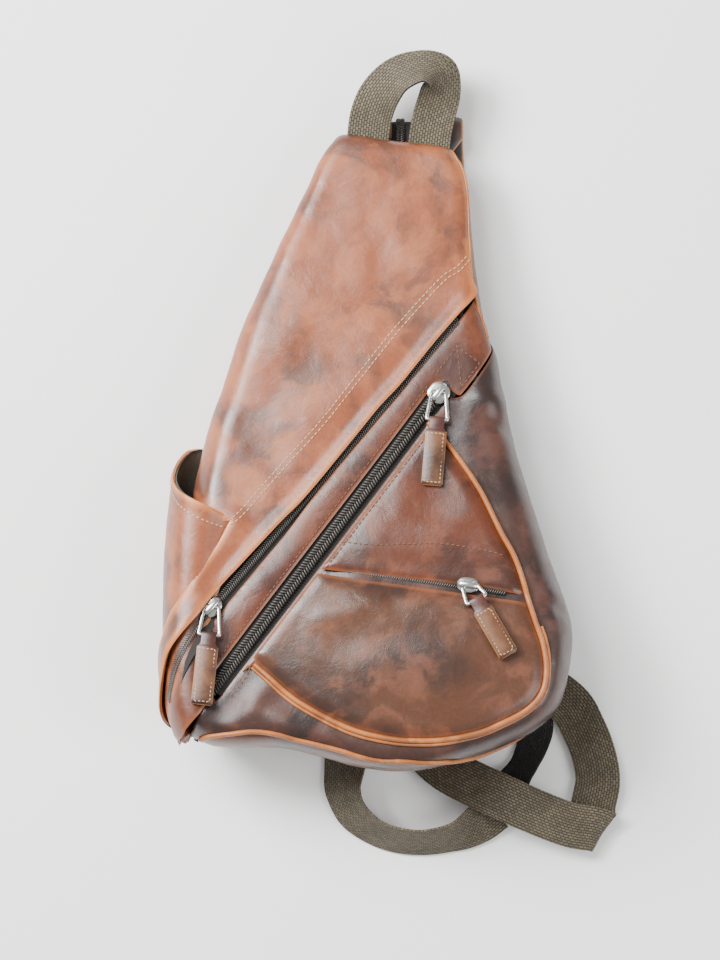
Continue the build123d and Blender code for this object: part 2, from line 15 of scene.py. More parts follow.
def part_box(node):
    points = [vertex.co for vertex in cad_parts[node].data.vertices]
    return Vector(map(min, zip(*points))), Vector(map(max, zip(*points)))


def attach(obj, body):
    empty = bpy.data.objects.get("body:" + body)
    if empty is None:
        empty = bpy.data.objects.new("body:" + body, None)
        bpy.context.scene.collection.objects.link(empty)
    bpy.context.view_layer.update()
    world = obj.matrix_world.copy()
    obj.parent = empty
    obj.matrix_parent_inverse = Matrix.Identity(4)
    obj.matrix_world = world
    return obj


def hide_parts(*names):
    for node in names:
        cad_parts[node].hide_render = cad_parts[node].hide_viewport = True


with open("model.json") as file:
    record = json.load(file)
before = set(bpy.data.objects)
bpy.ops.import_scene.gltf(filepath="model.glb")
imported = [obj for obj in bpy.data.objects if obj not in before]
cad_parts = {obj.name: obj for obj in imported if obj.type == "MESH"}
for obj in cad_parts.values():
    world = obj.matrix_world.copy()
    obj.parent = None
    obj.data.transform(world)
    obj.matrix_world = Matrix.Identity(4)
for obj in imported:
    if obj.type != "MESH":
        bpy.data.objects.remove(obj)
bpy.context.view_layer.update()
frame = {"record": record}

# %% [markdown]
# The bag is easiest to describe in a pattern maker's own axes: millimetres from the middle of its
# bottom seam, x to the right and y up to the handle. The left shoulder strap starts at a known
# place in those axes, so its corner ties them to the frame.
# %% pattern axes
MM = 0.001
STRAP_CORNER = np.array([-24.35, 105.0, 0.0])  # low corner of the left shoulder strap
low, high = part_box("shoulder_strap_left")
ORIGIN = np.array(low) / MM - STRAP_CORNER
print("pattern origin in the frame, mm", ORIGIN.round(2))


def to_frame(points):
    """Pattern millimetres to frame metres."""
    return (np.asarray(points, float) + ORIGIN) * MM


def from_frame(point):
    """Frame metres to pattern millimetres."""
    return np.asarray(point, float) / MM - ORIGIN


# %% [markdown]
# ## Leather laid over a form
# A bag maker cuts flat panels and pulls them over the bag's shape. The same is done here: each
# panel is drawn flat, and one function lays a flat point on the form. Inside the outline the form
# is the sloping front. Past the outline it rolls over the edge and down the wall to the back seam,
# with the flat distance kept, so a seam can run over the edge without a break.
# %% the form
OUTLINE = [(-17, 421), (-26, 415), (-34, 404), (-41, 389), (-52, 365), (-68, 331), (-86, 290),
           (-98, 255), (-106, 231), (-114, 200), (-121, 165), (-126, 130), (-129, 95), (-129, 65),
           (-127, 42), (-119, 25), (-105, 17), (-87, 15), (-60, 15), (-35, 10), (-10, 3), (15, 0),
           (40, 2), (65, 9), (90, 19), (110, 30), (122, 42), (128, 58), (131, 80), (130, 98),
           (125, 115), (116, 140), (107, 167), (98, 198), (90, 231), (83, 262), (76, 292),
           (71, 320), (68, 345), (66, 370), (64, 390), (59, 403), (50, 411), (34, 414.5), (8, 418)]
BACK_SEAM_Z = 12.3
FRONT_Z_BOTTOM, FRONT_Z_TOP, BAG_LENGTH = 95.3, 33.3, 421.0
ROLL = 17.0  # radius of the front edge
TUCK = 13.0  # how far the wall comes in again at the back seam


def front_z(y):
    return FRONT_Z_BOTTOM + (FRONT_Z_TOP - FRONT_Z_BOTTOM) * y / BAG_LENGTH


def smooth_curve(points, step=1.0, closed=False):
    """A Catmull-Rom curve through the points, sampled about every step."""
    points = [np.array(p, float) for p in points]
    count = len(points)
    samples = []
    for i in range(count if closed else count - 1):
        if closed:
            a, b, c, d = (points[(i + k) % count] for k in (-1, 0, 1, 2))
        else:
            b, c = points[i], points[i + 1]
            a = points[i - 1] if i else 2 * b - c
            d = points[i + 2] if i < count - 2 else 2 * c - b
        parts = max(1, int(round(np.linalg.norm(c - b) / step)))
        for t in np.arange(parts) / parts:
            samples.append(0.5 * (2 * b + (c - a) * t + (2 * a - 5 * b + 4 * c - d) * t * t
                                  + (3 * b - a - 3 * c + d) * t ** 3))
    if not closed:
        samples.append(points[-1])
    return np.array(samples)


def unit(vectors):
    length = np.linalg.norm(vectors, axis=-1, keepdims=True)
    return vectors / np.maximum(length, 1e-9)


edge_points = smooth_curve(OUTLINE, 1.2, closed=True)
edge_along = unit(np.roll(edge_points, -3, 0) - np.roll(edge_points, 3, 0))
edge_out = np.stack([edge_along[:, 1], -edge_along[:, 0]], 1)
for _ in range(6):
    edge_out = unit(np.roll(edge_out, 1, 0) + 2 * edge_out + np.roll(edge_out, -1, 0))
wall_height = front_z(edge_points[:, 1]) - 2 - BACK_SEAM_Z
edge_roll = np.minimum(ROLL, 0.42 * wall_height)
roll_drop = 0.42 * wall_height
quarter = math.pi / 2
roll_length = quarter * np.sqrt((edge_roll ** 2 + roll_drop ** 2) / 2)
tuck_length = quarter * np.sqrt((TUCK ** 2 + (wall_height - roll_drop) ** 2) / 2)
wall_length = roll_length + tuck_length - edge_roll
back_edge = edge_points + edge_out * wall_length[:, None]


def lay(flat):
    """Flat pattern points to points on the bag's form."""
    flat = np.atleast_2d(np.asarray(flat, float))
    result = np.zeros((len(flat), 3))
    for first in range(0, len(flat), 4000):
        p = flat[first:first + 4000]
        near = ((p[:, None, :] - edge_points[None]) ** 2).sum(2).argmin(1)
        q, n, along = edge_points[near], edge_out[near], edge_along[near]
        slide = ((p - q) * along).sum(1).clip(-0.8, 0.8)
        q = q + along * slide[:, None]
        e = ((p - q) * n).sum(1)
        roll, drop = edge_roll[near], roll_drop[near]
        turn = ((e + roll) / roll_length[near]).clip(0, 1) * quarter
        under = ((e + roll - roll_length[near]) / tuck_length[near]).clip(0, 1) * quarter
        inset = roll * (1 - np.sin(turn)) + TUCK * (1 - np.cos(under))
        depth = drop * (1 - np.cos(turn)) + (wall_height[near] - drop) * np.sin(under)
        on_wall = q - n * inset[:, None]
        inside = e <= -roll
        xy = np.where(inside[:, None], p, on_wall)
        z = front_z(xy[:, 1]) - np.where(inside, 0, depth)
        result[first:first + 4000] = np.column_stack([xy, z])
    return result


def lay_normal(flat):
    """The form's outward direction at flat pattern points."""
    flat = np.atleast_2d(np.asarray(flat, float))
    dx = lay(flat + [0.6, 0]) - lay(flat - [0.6, 0])
    dy = lay(flat + [0, 0.6]) - lay(flat - [0, 0.6])
    return unit(np.cross(dx, dy))


print("outline points", len(edge_points))
print("wall length, mm", wall_length.min().round(), "to", wall_length.max().round())

# %% [markdown]
# Pull-up leather never lies flat: the filled bag crowns a little, the hide has slow waves, and
# short folds run where it is pulled. These are real shape, so they go into the mesh; only the
# pores and fine creases are left to the material.
# %% relief


def bump(p, centre, radius):
    """A round rise of height 1 at a centre, 0 past the radius."""
    d = np.linalg.norm((p - np.array(centre)) / np.array(radius), axis=1).clip(0, 1)
    return (1 - d * d) ** 2


def ridge(p, start, end, width):
    """A straight fold of height 1 along a segment, fading at its ends."""
    a, b = np.array(start, float), np.array(end, float)
    t = (((p - a) @ (b - a)) / ((b - a) @ (b - a)))
    nearest = a + np.clip(t, 0, 1)[:, None] * (b - a)
    d = np.linalg.norm(p - nearest, axis=1) / width
    fade = np.sin(np.pi * t.clip(0, 1)) ** 0.5
    return np.exp(-d * d) * fade


def waves(p, size, seed):
    """Slow random waves from -1 to 1."""
    return np.array([noise.noise(Vector((x / size + seed, y / size, seed))) for x, y in p])


FOLDS = [  # start, end, width, height
    ((-36, 152), (-60, 124), 7, 2.6), ((-52, 160), (-72, 132), 5, -1.8),
    ((-64, 120), (-86, 96), 7, 2.2), ((-58, 104), (-88, 120), 5, -1.2),
    ((66, 300), (98, 262), 9, 1.8), ((60, 250), (96, 240), 8, 2.0), ((66, 235), (104, 222), 6, -1.6),
    ((98, 118), (134, 108), 5, -1.8), ((100, 110), (136, 118), 6, 1.2),
    ((-80, 44), (-40, 26), 8, 1.6), ((-62, 64), (-98, 26), 7, 1.4),
    ((10, 345), (52, 325), 12, 1.0), ((-40, 318), (40, 296), 10, -1.0), ((-70, 262), (-30, 330), 12, 1.0),
    ((-10, 262), (-60, 214), 12, 0.8), ((-90, 230), (-40, 190), 12, -0.8),
]


def relief(p):
    """Height of the leather over the form."""
    height = 5.0 * bump(p, (5, 120), (150, 170)) + 2.5 * bump(p, (-10, 290), (90, 130))
    height += 1.1 * waves(p, 46, 3.1) + 0.45 * waves(p, 17, 7.7) + 0.16 * waves(p, 6, 1.3)
    for start, end, width, rise in FOLDS:
        height += rise * ridge(p, start, end, width)
    return height
print(len(FOLDS), "folds in the leather")

# %% [markdown]
# ## Flat panels to leather
# A panel is a closed flat outline filled with points: rings close to its edge, where the cut edge
# rolls over, and an even field inside. A Delaunay fill keeps every point and the outline itself.
# Solidify then gives the hide its thickness. The flat distance to the edge is kept as an
# attribute, because the finish rubs lighter there.
# %% panel builder
scene_collection = bpy.context.scene.collection


def inside_loop(p, loop):
    """Which points lie inside a closed loop."""
    x, y = p[:, 0], p[:, 1]
    result = np.zeros(len(p), bool)
    for (x0, y0), (x1, y1) in zip(loop, np.roll(loop, -1, 0)):
        crosses = (y0 > y) != (y1 > y)
        if y1 != y0:
            result ^= crosses & (x < (x1 - x0) * (y - y0) / (y1 - y0) + x0)
    return result


def edge_distance(p, line, closed=True):
    """Distance from each point to a polyline."""
    starts = line if closed else line[:-1]
    ends = np.roll(line, -1, 0) if closed else line[1:]
    best = np.full(len(p), 1e9)
    for a, b in zip(starts, ends):
        t = (((p - a) @ (b - a)) / max((b - a) @ (b - a), 1e-12)).clip(0, 1)
        best = np.minimum(best, np.linalg.norm(p - a - t[:, None] * (b - a), axis=1))
    return best


def resample(line, step, closed=True):
    """Even points along a polyline."""
    line = np.asarray(line, float)
    if closed:
        line = np.vstack([line, line[:1]])
    lengths = np.concatenate([[0], np.cumsum(np.linalg.norm(np.diff(line, axis=0), axis=1))])
    count = max(2, int(round(lengths[-1] / step)))
    at = np.linspace(0, lengths[-1], count + 1)
    points = np.column_stack([np.interp(at, lengths, line[:, k]) for k in range(line.shape[1])])
    return points[:-1] if closed else points


def make_mesh(name, vertices, faces, smooth=True):
    """A mesh object at the origin, from pattern millimetres."""
    mesh = bpy.data.meshes.new(name)
    mesh.from_pydata([tuple(v) for v in to_frame(vertices)], [], [tuple(int(i) for i in f) for f in faces])
    mesh.validate()
    for polygon in mesh.polygons:
        polygon.use_smooth = smooth
    piece = bpy.data.objects.new(name, mesh)
    scene_collection.objects.link(piece)
    return piece


def apply_modifiers(piece):
    """Turn a piece and its modifiers into a plain mesh."""
    evaluated = piece.evaluated_get(bpy.context.evaluated_depsgraph_get())
    mesh = bpy.data.meshes.new_from_object(evaluated)
    piece.modifiers.clear()
    piece.data = mesh
    return piece


def thicken(piece, thickness, offset=-1.0, sharp=50):
    """Give a skin its thickness in millimetres, inward by default."""
    solid = piece.modifiers.new("thickness", "SOLIDIFY")
    solid.thickness, solid.offset = thickness * MM, offset
    solid.use_rim = True
    apply_modifiers(piece)
    piece.data.set_sharp_from_angle(angle=math.radians(sharp))
    return piece


def panel(name, loop, lift, thickness=1.8, step=3.0, body="bag", form=lay, form_normal=lay_normal,
          edge_roll_height=0.7):
    """A leather panel: a flat loop laid on the form at a lifted height."""
    outline = resample(loop, 1.5)
    area = 0.5 * np.sum(outline[:, 0] * np.roll(outline[:, 1], -1)
                        - np.roll(outline[:, 0], -1) * outline[:, 1])
    if area < 0:
        outline = outline[::-1]
    along = unit(np.roll(outline, -1, 0) - np.roll(outline, 1, 0))
    inward = np.stack([-along[:, 1], along[:, 0]], 1)
    lowest, highest = outline.min(0), outline.max(0)
    grid = [(x + (row % 2) * step / 2, y)
            for row, y in enumerate(np.arange(lowest[1], highest[1], step * 0.87))
            for x in np.arange(lowest[0], highest[0], step)]
    grid = np.array(grid)
    grid = grid[inside_loop(grid, outline)]
    grid = grid[edge_distance(grid, outline) > step * 0.95]
    rings = [outline + inward * 0.8, outline[::2] + inward[::2] * 1.9]
    ring = np.vstack(rings)
    ring = ring[inside_loop(ring, outline)]
    ring = ring[edge_distance(ring, outline) > 0.6]
    points = np.vstack([outline, ring, grid])
    made = geometry.delaunay_2d_cdt([Vector(p) for p in points], [], [list(range(len(outline)))], 1, 1e-5)
    flat = np.array([(v.x, v.y) for v in made[0]])
    faces = [f for f in made[2] if len(f) >= 3]
    away = edge_distance(flat, outline)
    height = lift(flat, away) - edge_roll_height * np.exp(-away / 0.8)
    placed = form(flat) + form_normal(flat) * height[:, None]
    piece = make_mesh(name, placed, faces)
    worn = piece.data.attributes.new("edge_mm", "FLOAT", "POINT")
    worn.data.foreach_set("value", away.astype(np.float32))
    thicken(piece, thickness)
    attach(piece, body)
    print(name, len(piece.data.polygons), "faces")
    return piece


# %% [markdown]
# ## Colours and a node helper
# Colours are written as the sRGB hex values that a designer would pick, and one function makes
# them linear. One helper adds a node with its settings and links, so a material reads as a list.
# %% node helper


def hexa(code):
    """sRGB hex to linear RGBA."""
    channels = [int(code[i:i + 2], 16) / 255 for i in (1, 3, 5)]
    linear = [c / 12.92 if c <= 0.04045 else ((c + 0.055) / 1.055) ** 2.4 for c in channels]
    return (*linear, 1.0)


def add(tree, kind, inputs=None, **settings):
    """Add a node: settings are its properties, inputs its socket values or links."""
    node = tree.nodes.new(kind)
    for key, value in settings.items():
        setattr(node, key, value)
    for key, value in (inputs or {}).items():
        socket = node.inputs[key]
        if isinstance(value, bpy.types.NodeSocket):
            tree.links.new(value, socket)
        else:
            socket.default_value = value
    return node


def new_material(name):
    """An empty material with its output and Principled shader."""
    material = bpy.data.materials.new(name)
    material.use_nodes = True
    tree = material.node_tree
    tree.nodes.clear()
    output = add(tree, "ShaderNodeOutputMaterial")
    shader = add(tree, "ShaderNodeBsdfPrincipled")
    tree.links.new(shader.outputs[0], output.inputs[0])
    return material, tree, shader


def ramp(tree, factor, stops):
    """A colour ramp from (position, colour or grey) stops."""
    node = add(tree, "ShaderNodeValToRGB", {"Fac": factor})
    elements = node.color_ramp.elements
    while len(elements) < len(stops):
        elements.new(0.5)
    for element, (position, value) in zip(elements, stops):
        element.position = position
        element.color = hexa(value) if isinstance(value, str) else (value, value, value, 1)
    return node.outputs["Color"]


def mix(tree, factor, a, b, blend="MIX"):
    """Mix two colours."""
    node = add(tree, "ShaderNodeMix", data_type="RGBA", blend_type=blend)
    for socket, value in ((node.inputs[0], factor), (node.inputs[6], a), (node.inputs[7], b)):
        if isinstance(value, bpy.types.NodeSocket):
            tree.links.new(value, socket)
        else:
            socket.default_value = value
    return node.outputs[2]


def math_node(tree, operation, a, b=0.0):
    node = add(tree, "ShaderNodeMath", operation=operation)
    for socket, value in zip(node.inputs, (a, b)):
        if isinstance(value, bpy.types.NodeSocket):
            tree.links.new(value, socket)
        else:
            socket.default_value = value
    return node.outputs[0]


# %% [markdown]
# ## Pull-up leather
# An oiled, waxed cowhide: where it is bent or pulled the wax moves and the colour lifts to orange,
# and where it is handled it goes dark and glossy. The eye reads three scales: hand-sized clouds,
# finger-sized rubbed streaks, and pores and hair-fine creases under a millimetre. Creases are
# drawn about half as fine as real ones so that they show.
# %% leather material


def leather(name, base, dark, pulled, edge, gloss=0.42, cloud=55.0, edge_reach=2.2, pull=0.5,
            wear=0.8):
    """Pull-up leather from its four colours."""
    material, tree, shader = new_material(name)
    place = add(tree, "ShaderNodeTexCoord").outputs["Object"]
    scale = 1 / MM
    warp = add(tree, "ShaderNodeTexNoise", {"Vector": place, "Scale": scale / 70, "Detail": 3.0})
    bent = add(tree, "ShaderNodeVectorMath", {0: warp.outputs["Color"], 1: (0.05, 0.05, 0.05)},
               operation="MULTIPLY")
    moved = add(tree, "ShaderNodeVectorMath", {0: place, 1: bent.outputs[0]}, operation="ADD").outputs[0]
    clouds = add(tree, "ShaderNodeTexNoise", {"Vector": moved, "Scale": scale / cloud, "Detail": 5.0,
                                              "Roughness": 0.55}).outputs["Fac"]
    streaks = add(tree, "ShaderNodeTexNoise", {"Vector": moved, "Scale": scale / 24, "Detail": 4.0,
                                               "Roughness": 0.58, "Distortion": 0.2}).outputs["Fac"]
    color = ramp(tree, clouds, [(0.40, dark), (0.52, base), (0.70, base)])
    rubbed = ramp(tree, streaks, [(0.50, 0.0), (0.62, pull)])
    color = mix(tree, rubbed, color, hexa(pulled))
    cracks = add(tree, "ShaderNodeTexVoronoi", {"Vector": moved, "Scale": scale / 17, "Randomness": 1.0},
                 feature="DISTANCE_TO_EDGE")
    scratch = ramp(tree, cracks.outputs["Distance"], [(0.0, 0.12), (0.035, 0.0)])
    sparse = ramp(tree, clouds, [(0.48, 0.0), (0.56, 1.0)])
    scratch = math_node(tree, "MULTIPLY", scratch, sparse)
    color = mix(tree, scratch, color, hexa(pulled))
    fine = add(tree, "ShaderNodeTexNoise",
               {"Vector": place, "Scale": scale / 2.2, "Detail": 4.0}).outputs["Fac"]
    mottle = ramp(tree, fine, [(0.3, 0.86), (0.7, 1.0)])
    color = mix(tree, 1.0, color, mottle, "MULTIPLY")
    away = add(tree, "ShaderNodeAttribute", attribute_name="edge_mm").outputs["Fac"]
    wobble = math_node(tree, "MULTIPLY", streaks, edge_reach * 1.6)
    worn = add(tree, "ShaderNodeMapRange", {"Value": math_node(tree, "SUBTRACT", away, wobble),
                                            "From Min": -edge_reach * 0.4, "From Max": edge_reach,
                                            "To Min": wear, "To Max": 0.0}).outputs[0]
    color = mix(tree, worn, color, hexa(edge))
    tree.links.new(color, shader.inputs["Base Color"])
    rough = ramp(tree, streaks, [(0.3, gloss - 0.08), (0.7, gloss + 0.12)])
    tree.links.new(rough, shader.inputs["Roughness"])
    shader.inputs["IOR"].default_value = 1.5
    shader.inputs["Coat Weight"].default_value = 0.06
    shader.inputs["Coat Roughness"].default_value = 0.35
    pores = add(tree, "ShaderNodeTexVoronoi", {"Vector": place, "Scale": scale / 0.9}).outputs["Distance"]
    creases = add(tree, "ShaderNodeTexNoise", {"Vector": moved, "Scale": scale / 9, "Detail": 7.0,
                                               "Roughness": 0.6, "Distortion": 0.7}).outputs["Fac"]
    height = math_node(tree, "ADD", math_node(tree, "MULTIPLY", pores, 0.10),
                       math_node(tree, "MULTIPLY", creases, 1.0))
    height = math_node(tree, "ADD", height, math_node(tree, "MULTIPLY", fine, 0.15))
    bumped = add(tree, "ShaderNodeBump", {"Height": height, "Strength": 0.3, "Distance": 0.0008})
    tree.links.new(bumped.outputs[0], shader.inputs["Normal"])
    return material


# the upper hide took the light wax: cinnamon with mauve-brown clouds and orange pull-up
TAN = leather("pull_up_leather_cinnamon",
              "#8b4c2f", "#60392a", "#a66037", "#bd7036", 0.36, 46, 2.6, 0.55, 0.8)
# the lower panels are the dark side of the same hide
DARK = leather("pull_up_leather_chocolate",
               "#3a241d", "#281a17", "#65382a", "#7c4527", 0.34, 52, 1.0, 0.35, 0.35)
STRIP = leather("pull_up_leather_reddish",
                "#5a2d1b", "#3e2016", "#7c4224", "#9a5730", 0.34, 44, 1.4, 0.4, 0.45)
POCKET = leather("pull_up_leather_pocket",
                 "#50301f", "#38231b", "#7c452b", "#8d5230", 0.32, 60, 1.6, 0.4, 0.5)
PIPING = leather("piping_leather_orange", "#a05a2a", "#7a4321", "#c27b41", "#b06c34", 0.45, 30, 0.2, 0.6, 0.2)
PULL = leather("pull_tab_leather", "#42201a", "#2e1712", "#5c2f1e", "#b07a42", 0.4, 22, 0.7, 0.4, 0.8)
print("leathers:", [leather_kind.name for leather_kind in (TAN, DARK, STRIP, POCKET, PIPING, PULL)])

# %% [markdown]
# ## The front panels
# One loop runs round the back seam. Each seam curve cuts it in two, and a panel is the side that
# it keeps. The flap's free edge stands proud, because a zip runs beneath it. The side pocket
# gapes: its swell lifts every panel that lies over it at the lower left corner.
# %% seams
FLAP_EDGE = [(160, 425), (120, 381), (98, 352), (77, 325), (65.5, 310), (57, 300), (44, 285), (31, 269),
             (18, 253), (5, 239), (-8, 223), (-21, 207), (-34, 191), (-47, 176), (-59, 164), (-73, 149),
             (-86, 135), (-99, 121), (-111, 105), (-120, 91), (-129, 75), (-137, 58), (-146, 36),
             (-156, 8), (-166, -20), (-178, -70), (-190, -120)]
FLAP_ZIP = np.array([(58.0, 298.9), (-111.5, 99.4)])
MAIN_ZIP = np.array([(51.0, 257.7), (-104.5, 53.9)])
POCKET_ZIP = np.array([(90.0, 117.9), (-19.5, 133.0)])
RIGHT_SEAM = [(46, 480), (51, 440), (56, 409), (60, 401), (63.5, 391), (65.5, 375), (66, 355), (66, 335),
              (68, 319), (72, 306), (76.5, 293), (83, 276), (110, 250), (160, 205)]
SIDE_SEAM = [(-220, 150), (-130, 156), (-104, 163), (-93, 164), (-102, 147), (-112.5, 132), (-120.5, 116),
             (-130, 99), (-138, 84), (-152, 66), (-180, 45), (-230, 30)]
BOTTOM_SEAM = [(-220, -70), (-150, -22), (-124, 6), (-111, 17), (-99, 21.5), (-86, 25), (-76, 26),
               (-63, 24), (-47, 19), (-21, 12.5), (-8, 8), (5, 5), (18, 5), (30, 3.5), (45, 1), (62, -4),
               (80, -10), (105, -8), (135, -12), (180, -30), (270, -70)]
back_loop = resample(back_edge, 3.0)
flap_curve = smooth_curve(FLAP_EDGE, 1.5)
side_seam = smooth_curve(SIDE_SEAM[:4], 1.5)
side_seam = np.vstack([side_seam, smooth_curve(SIDE_SEAM[3:], 1.5)[1:]])
right_seam = smooth_curve(RIGHT_SEAM, 1.5)
bottom_seam = smooth_curve(BOTTOM_SEAM, 1.5)


def beside(zip_line, along_mm, across_mm):
    """A flat point beside a zip, from its upper end, with across to the lower right."""
    along = unit(zip_line[1] - zip_line[0])
    return tuple(zip_line[0] + along * along_mm + np.array((-along[1], along[0])) * across_mm)


def parallel(line, distance):
    """A curve beside another, to its left as it runs."""
    along = unit(np.gradient(np.asarray(line, float), axis=0))
    return np.asarray(line, float) + np.stack([-along[:, 1], along[:, 0]], 1) * distance


def offset_track(zip_line, places):
    """A smooth curve through (along, across) places beside a zip."""
    return smooth_curve([beside(zip_line, a, c) for a, c in places], 1.5)


main_length = float(np.linalg.norm(MAIN_ZIP[1] - MAIN_ZIP[0]))
flap_length = float(np.linalg.norm(FLAP_ZIP[1] - FLAP_ZIP[0]))
strip_high = np.vstack([offset_track(FLAP_ZIP, [
    (-160, 2.2), (-60, 1.6), (-20, 1.2), (20, 1.0), (48, 1.4), (64, 2.2), (120, 2.6), (152, 3.2),
    (180, 5.2), (210, 5.6), (flap_length, 6.2)]), smooth_curve([
        (-113, 88), (-119, 76), (-126, 60), (-135, 38), (-144, 12), (-156, -24), (-168, -72), (-180, -122)], 1.5)])
strip_low = offset_track(MAIN_ZIP, [
    (-220, 12.3), (-80, 12.3), (-20, 12.3), (2, 12.2), (5, 11), (5.5, 4), (5.5, -3), (7, -5.9), (20, -5.9),
    (90, -5.7), (170, -6.0), (main_length - 4, -5.8), (main_length + 2, -4.5), (main_length + 4, 0),
    (main_length + 9, 3), (main_length + 60, 3), (main_length + 170, 3)])
lower_high = offset_track(MAIN_ZIP, [
    (-220, 14.0), (-80, 14.0), (-20, 14.0), (2, 13.6), (9, 9.5), (16, 7.0), (90, 7.2), (170, 7.2),
    (main_length - 4, 6.8), (main_length + 2, 4.6), (main_length + 9, 3.3), (main_length + 60, 3.2),
    (main_length + 170, 3.2)])


def cut_loop(loop, curve, keep):
    """Cut a closed loop by a curve that crosses it; keep the side that holds a point."""
    hits = []
    ends = np.roll(loop, -1, 0)
    for j in range(len(curve) - 1):
        c, d = curve[j], curve[j + 1]
        run, side = ends - loop, d - c
        base = run[:, 0] * side[1] - run[:, 1] * side[0]
        base = np.where(abs(base) < 1e-12, 1e-12, base)
        gap = c - loop
        t = (gap[:, 0] * side[1] - gap[:, 1] * side[0]) / base
        u = (gap[:, 0] * run[:, 1] - gap[:, 1] * run[:, 0]) / base
        for i in np.nonzero((t >= 0) & (t < 1) & (u >= 0) & (u < 1))[0]:
            hits.append((j + u[i], i + t[i], loop[i] + t[i] * run[i]))
    hits.sort(key=lambda hit: hit[0])
    (cu, lu, start), (cv, lv, end) = hits[0], hits[-1]
    middle = curve[int(math.ceil(cu)):int(math.floor(cv)) + 1]

    def walk(from_t, to_t):
        first, last = int(math.floor(from_t)) + 1, int(math.floor(to_t))
        if to_t < from_t:
            last += len(loop)
        return [loop[k % len(loop)] for k in range(first, last + 1)]

    forward = np.array([start, *middle, end, *walk(lv, lu)])
    backward = np.array([end, *middle[::-1], start, *walk(lu, lv)])
    return forward if inside_loop(np.array([keep], float), forward)[0] else backward


left_of_right = cut_loop(back_loop, right_seam, (0, 250))
upper_loop = cut_loop(cut_loop(left_of_right, flap_curve, (-40, 260)), side_seam, (-40, 260))
strip_loop = cut_loop(cut_loop(left_of_right, strip_high, (60, 150)), strip_low, (0, 215))
gusset_loop = cut_loop(back_loop, right_seam, (78, 330))
above_bottom = cut_loop(back_loop, bottom_seam, (60, 100))
lower_loop = cut_loop(above_bottom, lower_high, (60, 100))
under_loop = cut_loop(back_loop, bottom_seam, (20, -20))


def near(p, curve, reach):
    """1 on a curve, falling smoothly to 0 at a reach."""
    d = (edge_distance(p, curve, closed=False) / reach).clip(0, 1)
    return (1 - d * d) ** 2


def step(value, low, high):
    """A smooth step from 0 at low to 1 at high."""
    t = ((value - low) / (high - low)).clip(0, 1)
    return t * t * (3 - 2 * t)


def past_edge(p):
    """Signed flat distance past the widest outline."""
    distance = edge_distance(p, edge_points[::3])
    return np.where(inside_loop(p, edge_points[::3]), -distance, distance)


def swell(p, top=0.0):
    """How far the filled side pocket pushes the leather out, more at its open top."""
    left = step(-p[:, 0], 60, 100)
    e = past_edge(p)
    out = step(e, -30, 0) * (1 - 0.75 * step(e, 18, 52))
    panels = 9.0 * (1 - step(p[:, 1], 100, 168))
    pocket = 8.5 + 7.5 * step(p[:, 1], 80, 200)
    return left * out * (panels * (1 - top) + top * pocket)


MAIN_TAB_REST = np.array([(43.5, 236.0), (39.0, 180.0)])


def calm(p):
    """0 where a zip or a resting pull needs the form to be true, 1 away from them."""
    return ((1 - near(p, FLAP_ZIP, 26)) * (1 - near(p, MAIN_ZIP, 30)) * (1 - near(p, MAIN_TAB_REST, 26)))


def upper_lift(p, away):
    return relief(p) * calm(p) + 2.6 * near(p, flap_curve, 9) + 1.2 * near(p, flap_curve, 30) \
        + swell(p) + 2.0 * near(p, side_seam[30:], 16)


def strip_lift(p, away):
    return relief(p) * calm(p) - 0.6 * near(p, strip_high, 5) + swell(p)


def lower_lift(p, away):
    return relief(p) * calm(p) + swell(p) * step(p[:, 1], 20, 60)


upper = panel("upper_panel", upper_loop, upper_lift)
strip = panel("diagonal_strip_leather", strip_loop, strip_lift)
lower = panel("lower_panel", lower_loop, lower_lift)
gusset = panel("right_gusset_leather", gusset_loop, lambda p, away: relief(p) * 0.6 - 0.8)
under = panel("bottom_gusset_leather", under_loop, lambda p, away: relief(p) * 0.7 - 0.8)
for piece, material, slot in ((upper, TAN, "tan_leather"), (strip, STRIP, "strip_leather"),
                              (lower, DARK, "dark_leather"), (gusset, STRIP, "dark_leather"),
                              (under, STRIP, "dark_leather")):
    piece.data.materials.append(material)
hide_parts("upper_front_panel", "left_gusset", "top_gusset")
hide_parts("diagonal_strip")
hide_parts("lower_front_panel")
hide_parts("right_gusset")
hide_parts("bottom_gusset")
print("front panels:", {piece.name: len(piece.data.polygons) for piece in (upper, strip, lower, gusset, under)})

# %% [markdown]
# ## Side pocket
# A patch of the same hide stands out from the left wall. Its mouth is hemmed, and inside it a dark
# open mesh lines the leather.
# %% side pocket
MOUTH = [(-220, 190), (-175, 220), (-150, 222), (-139, 216), (-134, 206), (-126, 192), (-116, 180),
         (-104, 172), (-92, 167)]
POCKET_INNER = [(-92, 167), (-90, 150), (-97, 128), (-105, 100), (-113, 66), (-124, 38), (-150, 2),
                (-205, -45)]
mouth_curve = smooth_curve(MOUTH, 1.5)
side_loop = cut_loop(back_loop, np.vstack([mouth_curve, smooth_curve(POCKET_INNER, 1.5)[1:]]), (-135, 120))


def side_lift(p, away):
    return relief(p) * 0.6 * calm(p) + swell(p, 1.0) - 0.4 + 1.0 * near(p, mouth_curve, 7)


side = panel("side_pocket_leather", side_loop, side_lift)
side.data.materials.append(TAN)
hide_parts("side_pocket_panel")
side_lining = panel("side_pocket_mesh_lining", side_loop,
                    lambda p, away: side_lift(p, away) - 2.6, thickness=0.5)
# The main compartment has no lining of its own here. Its CAD lining is hidden under this cloth,
# because it came through the bottom leather.
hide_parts("main_lining")
print("side pocket:", side.name, len(side.data.polygons), "faces")

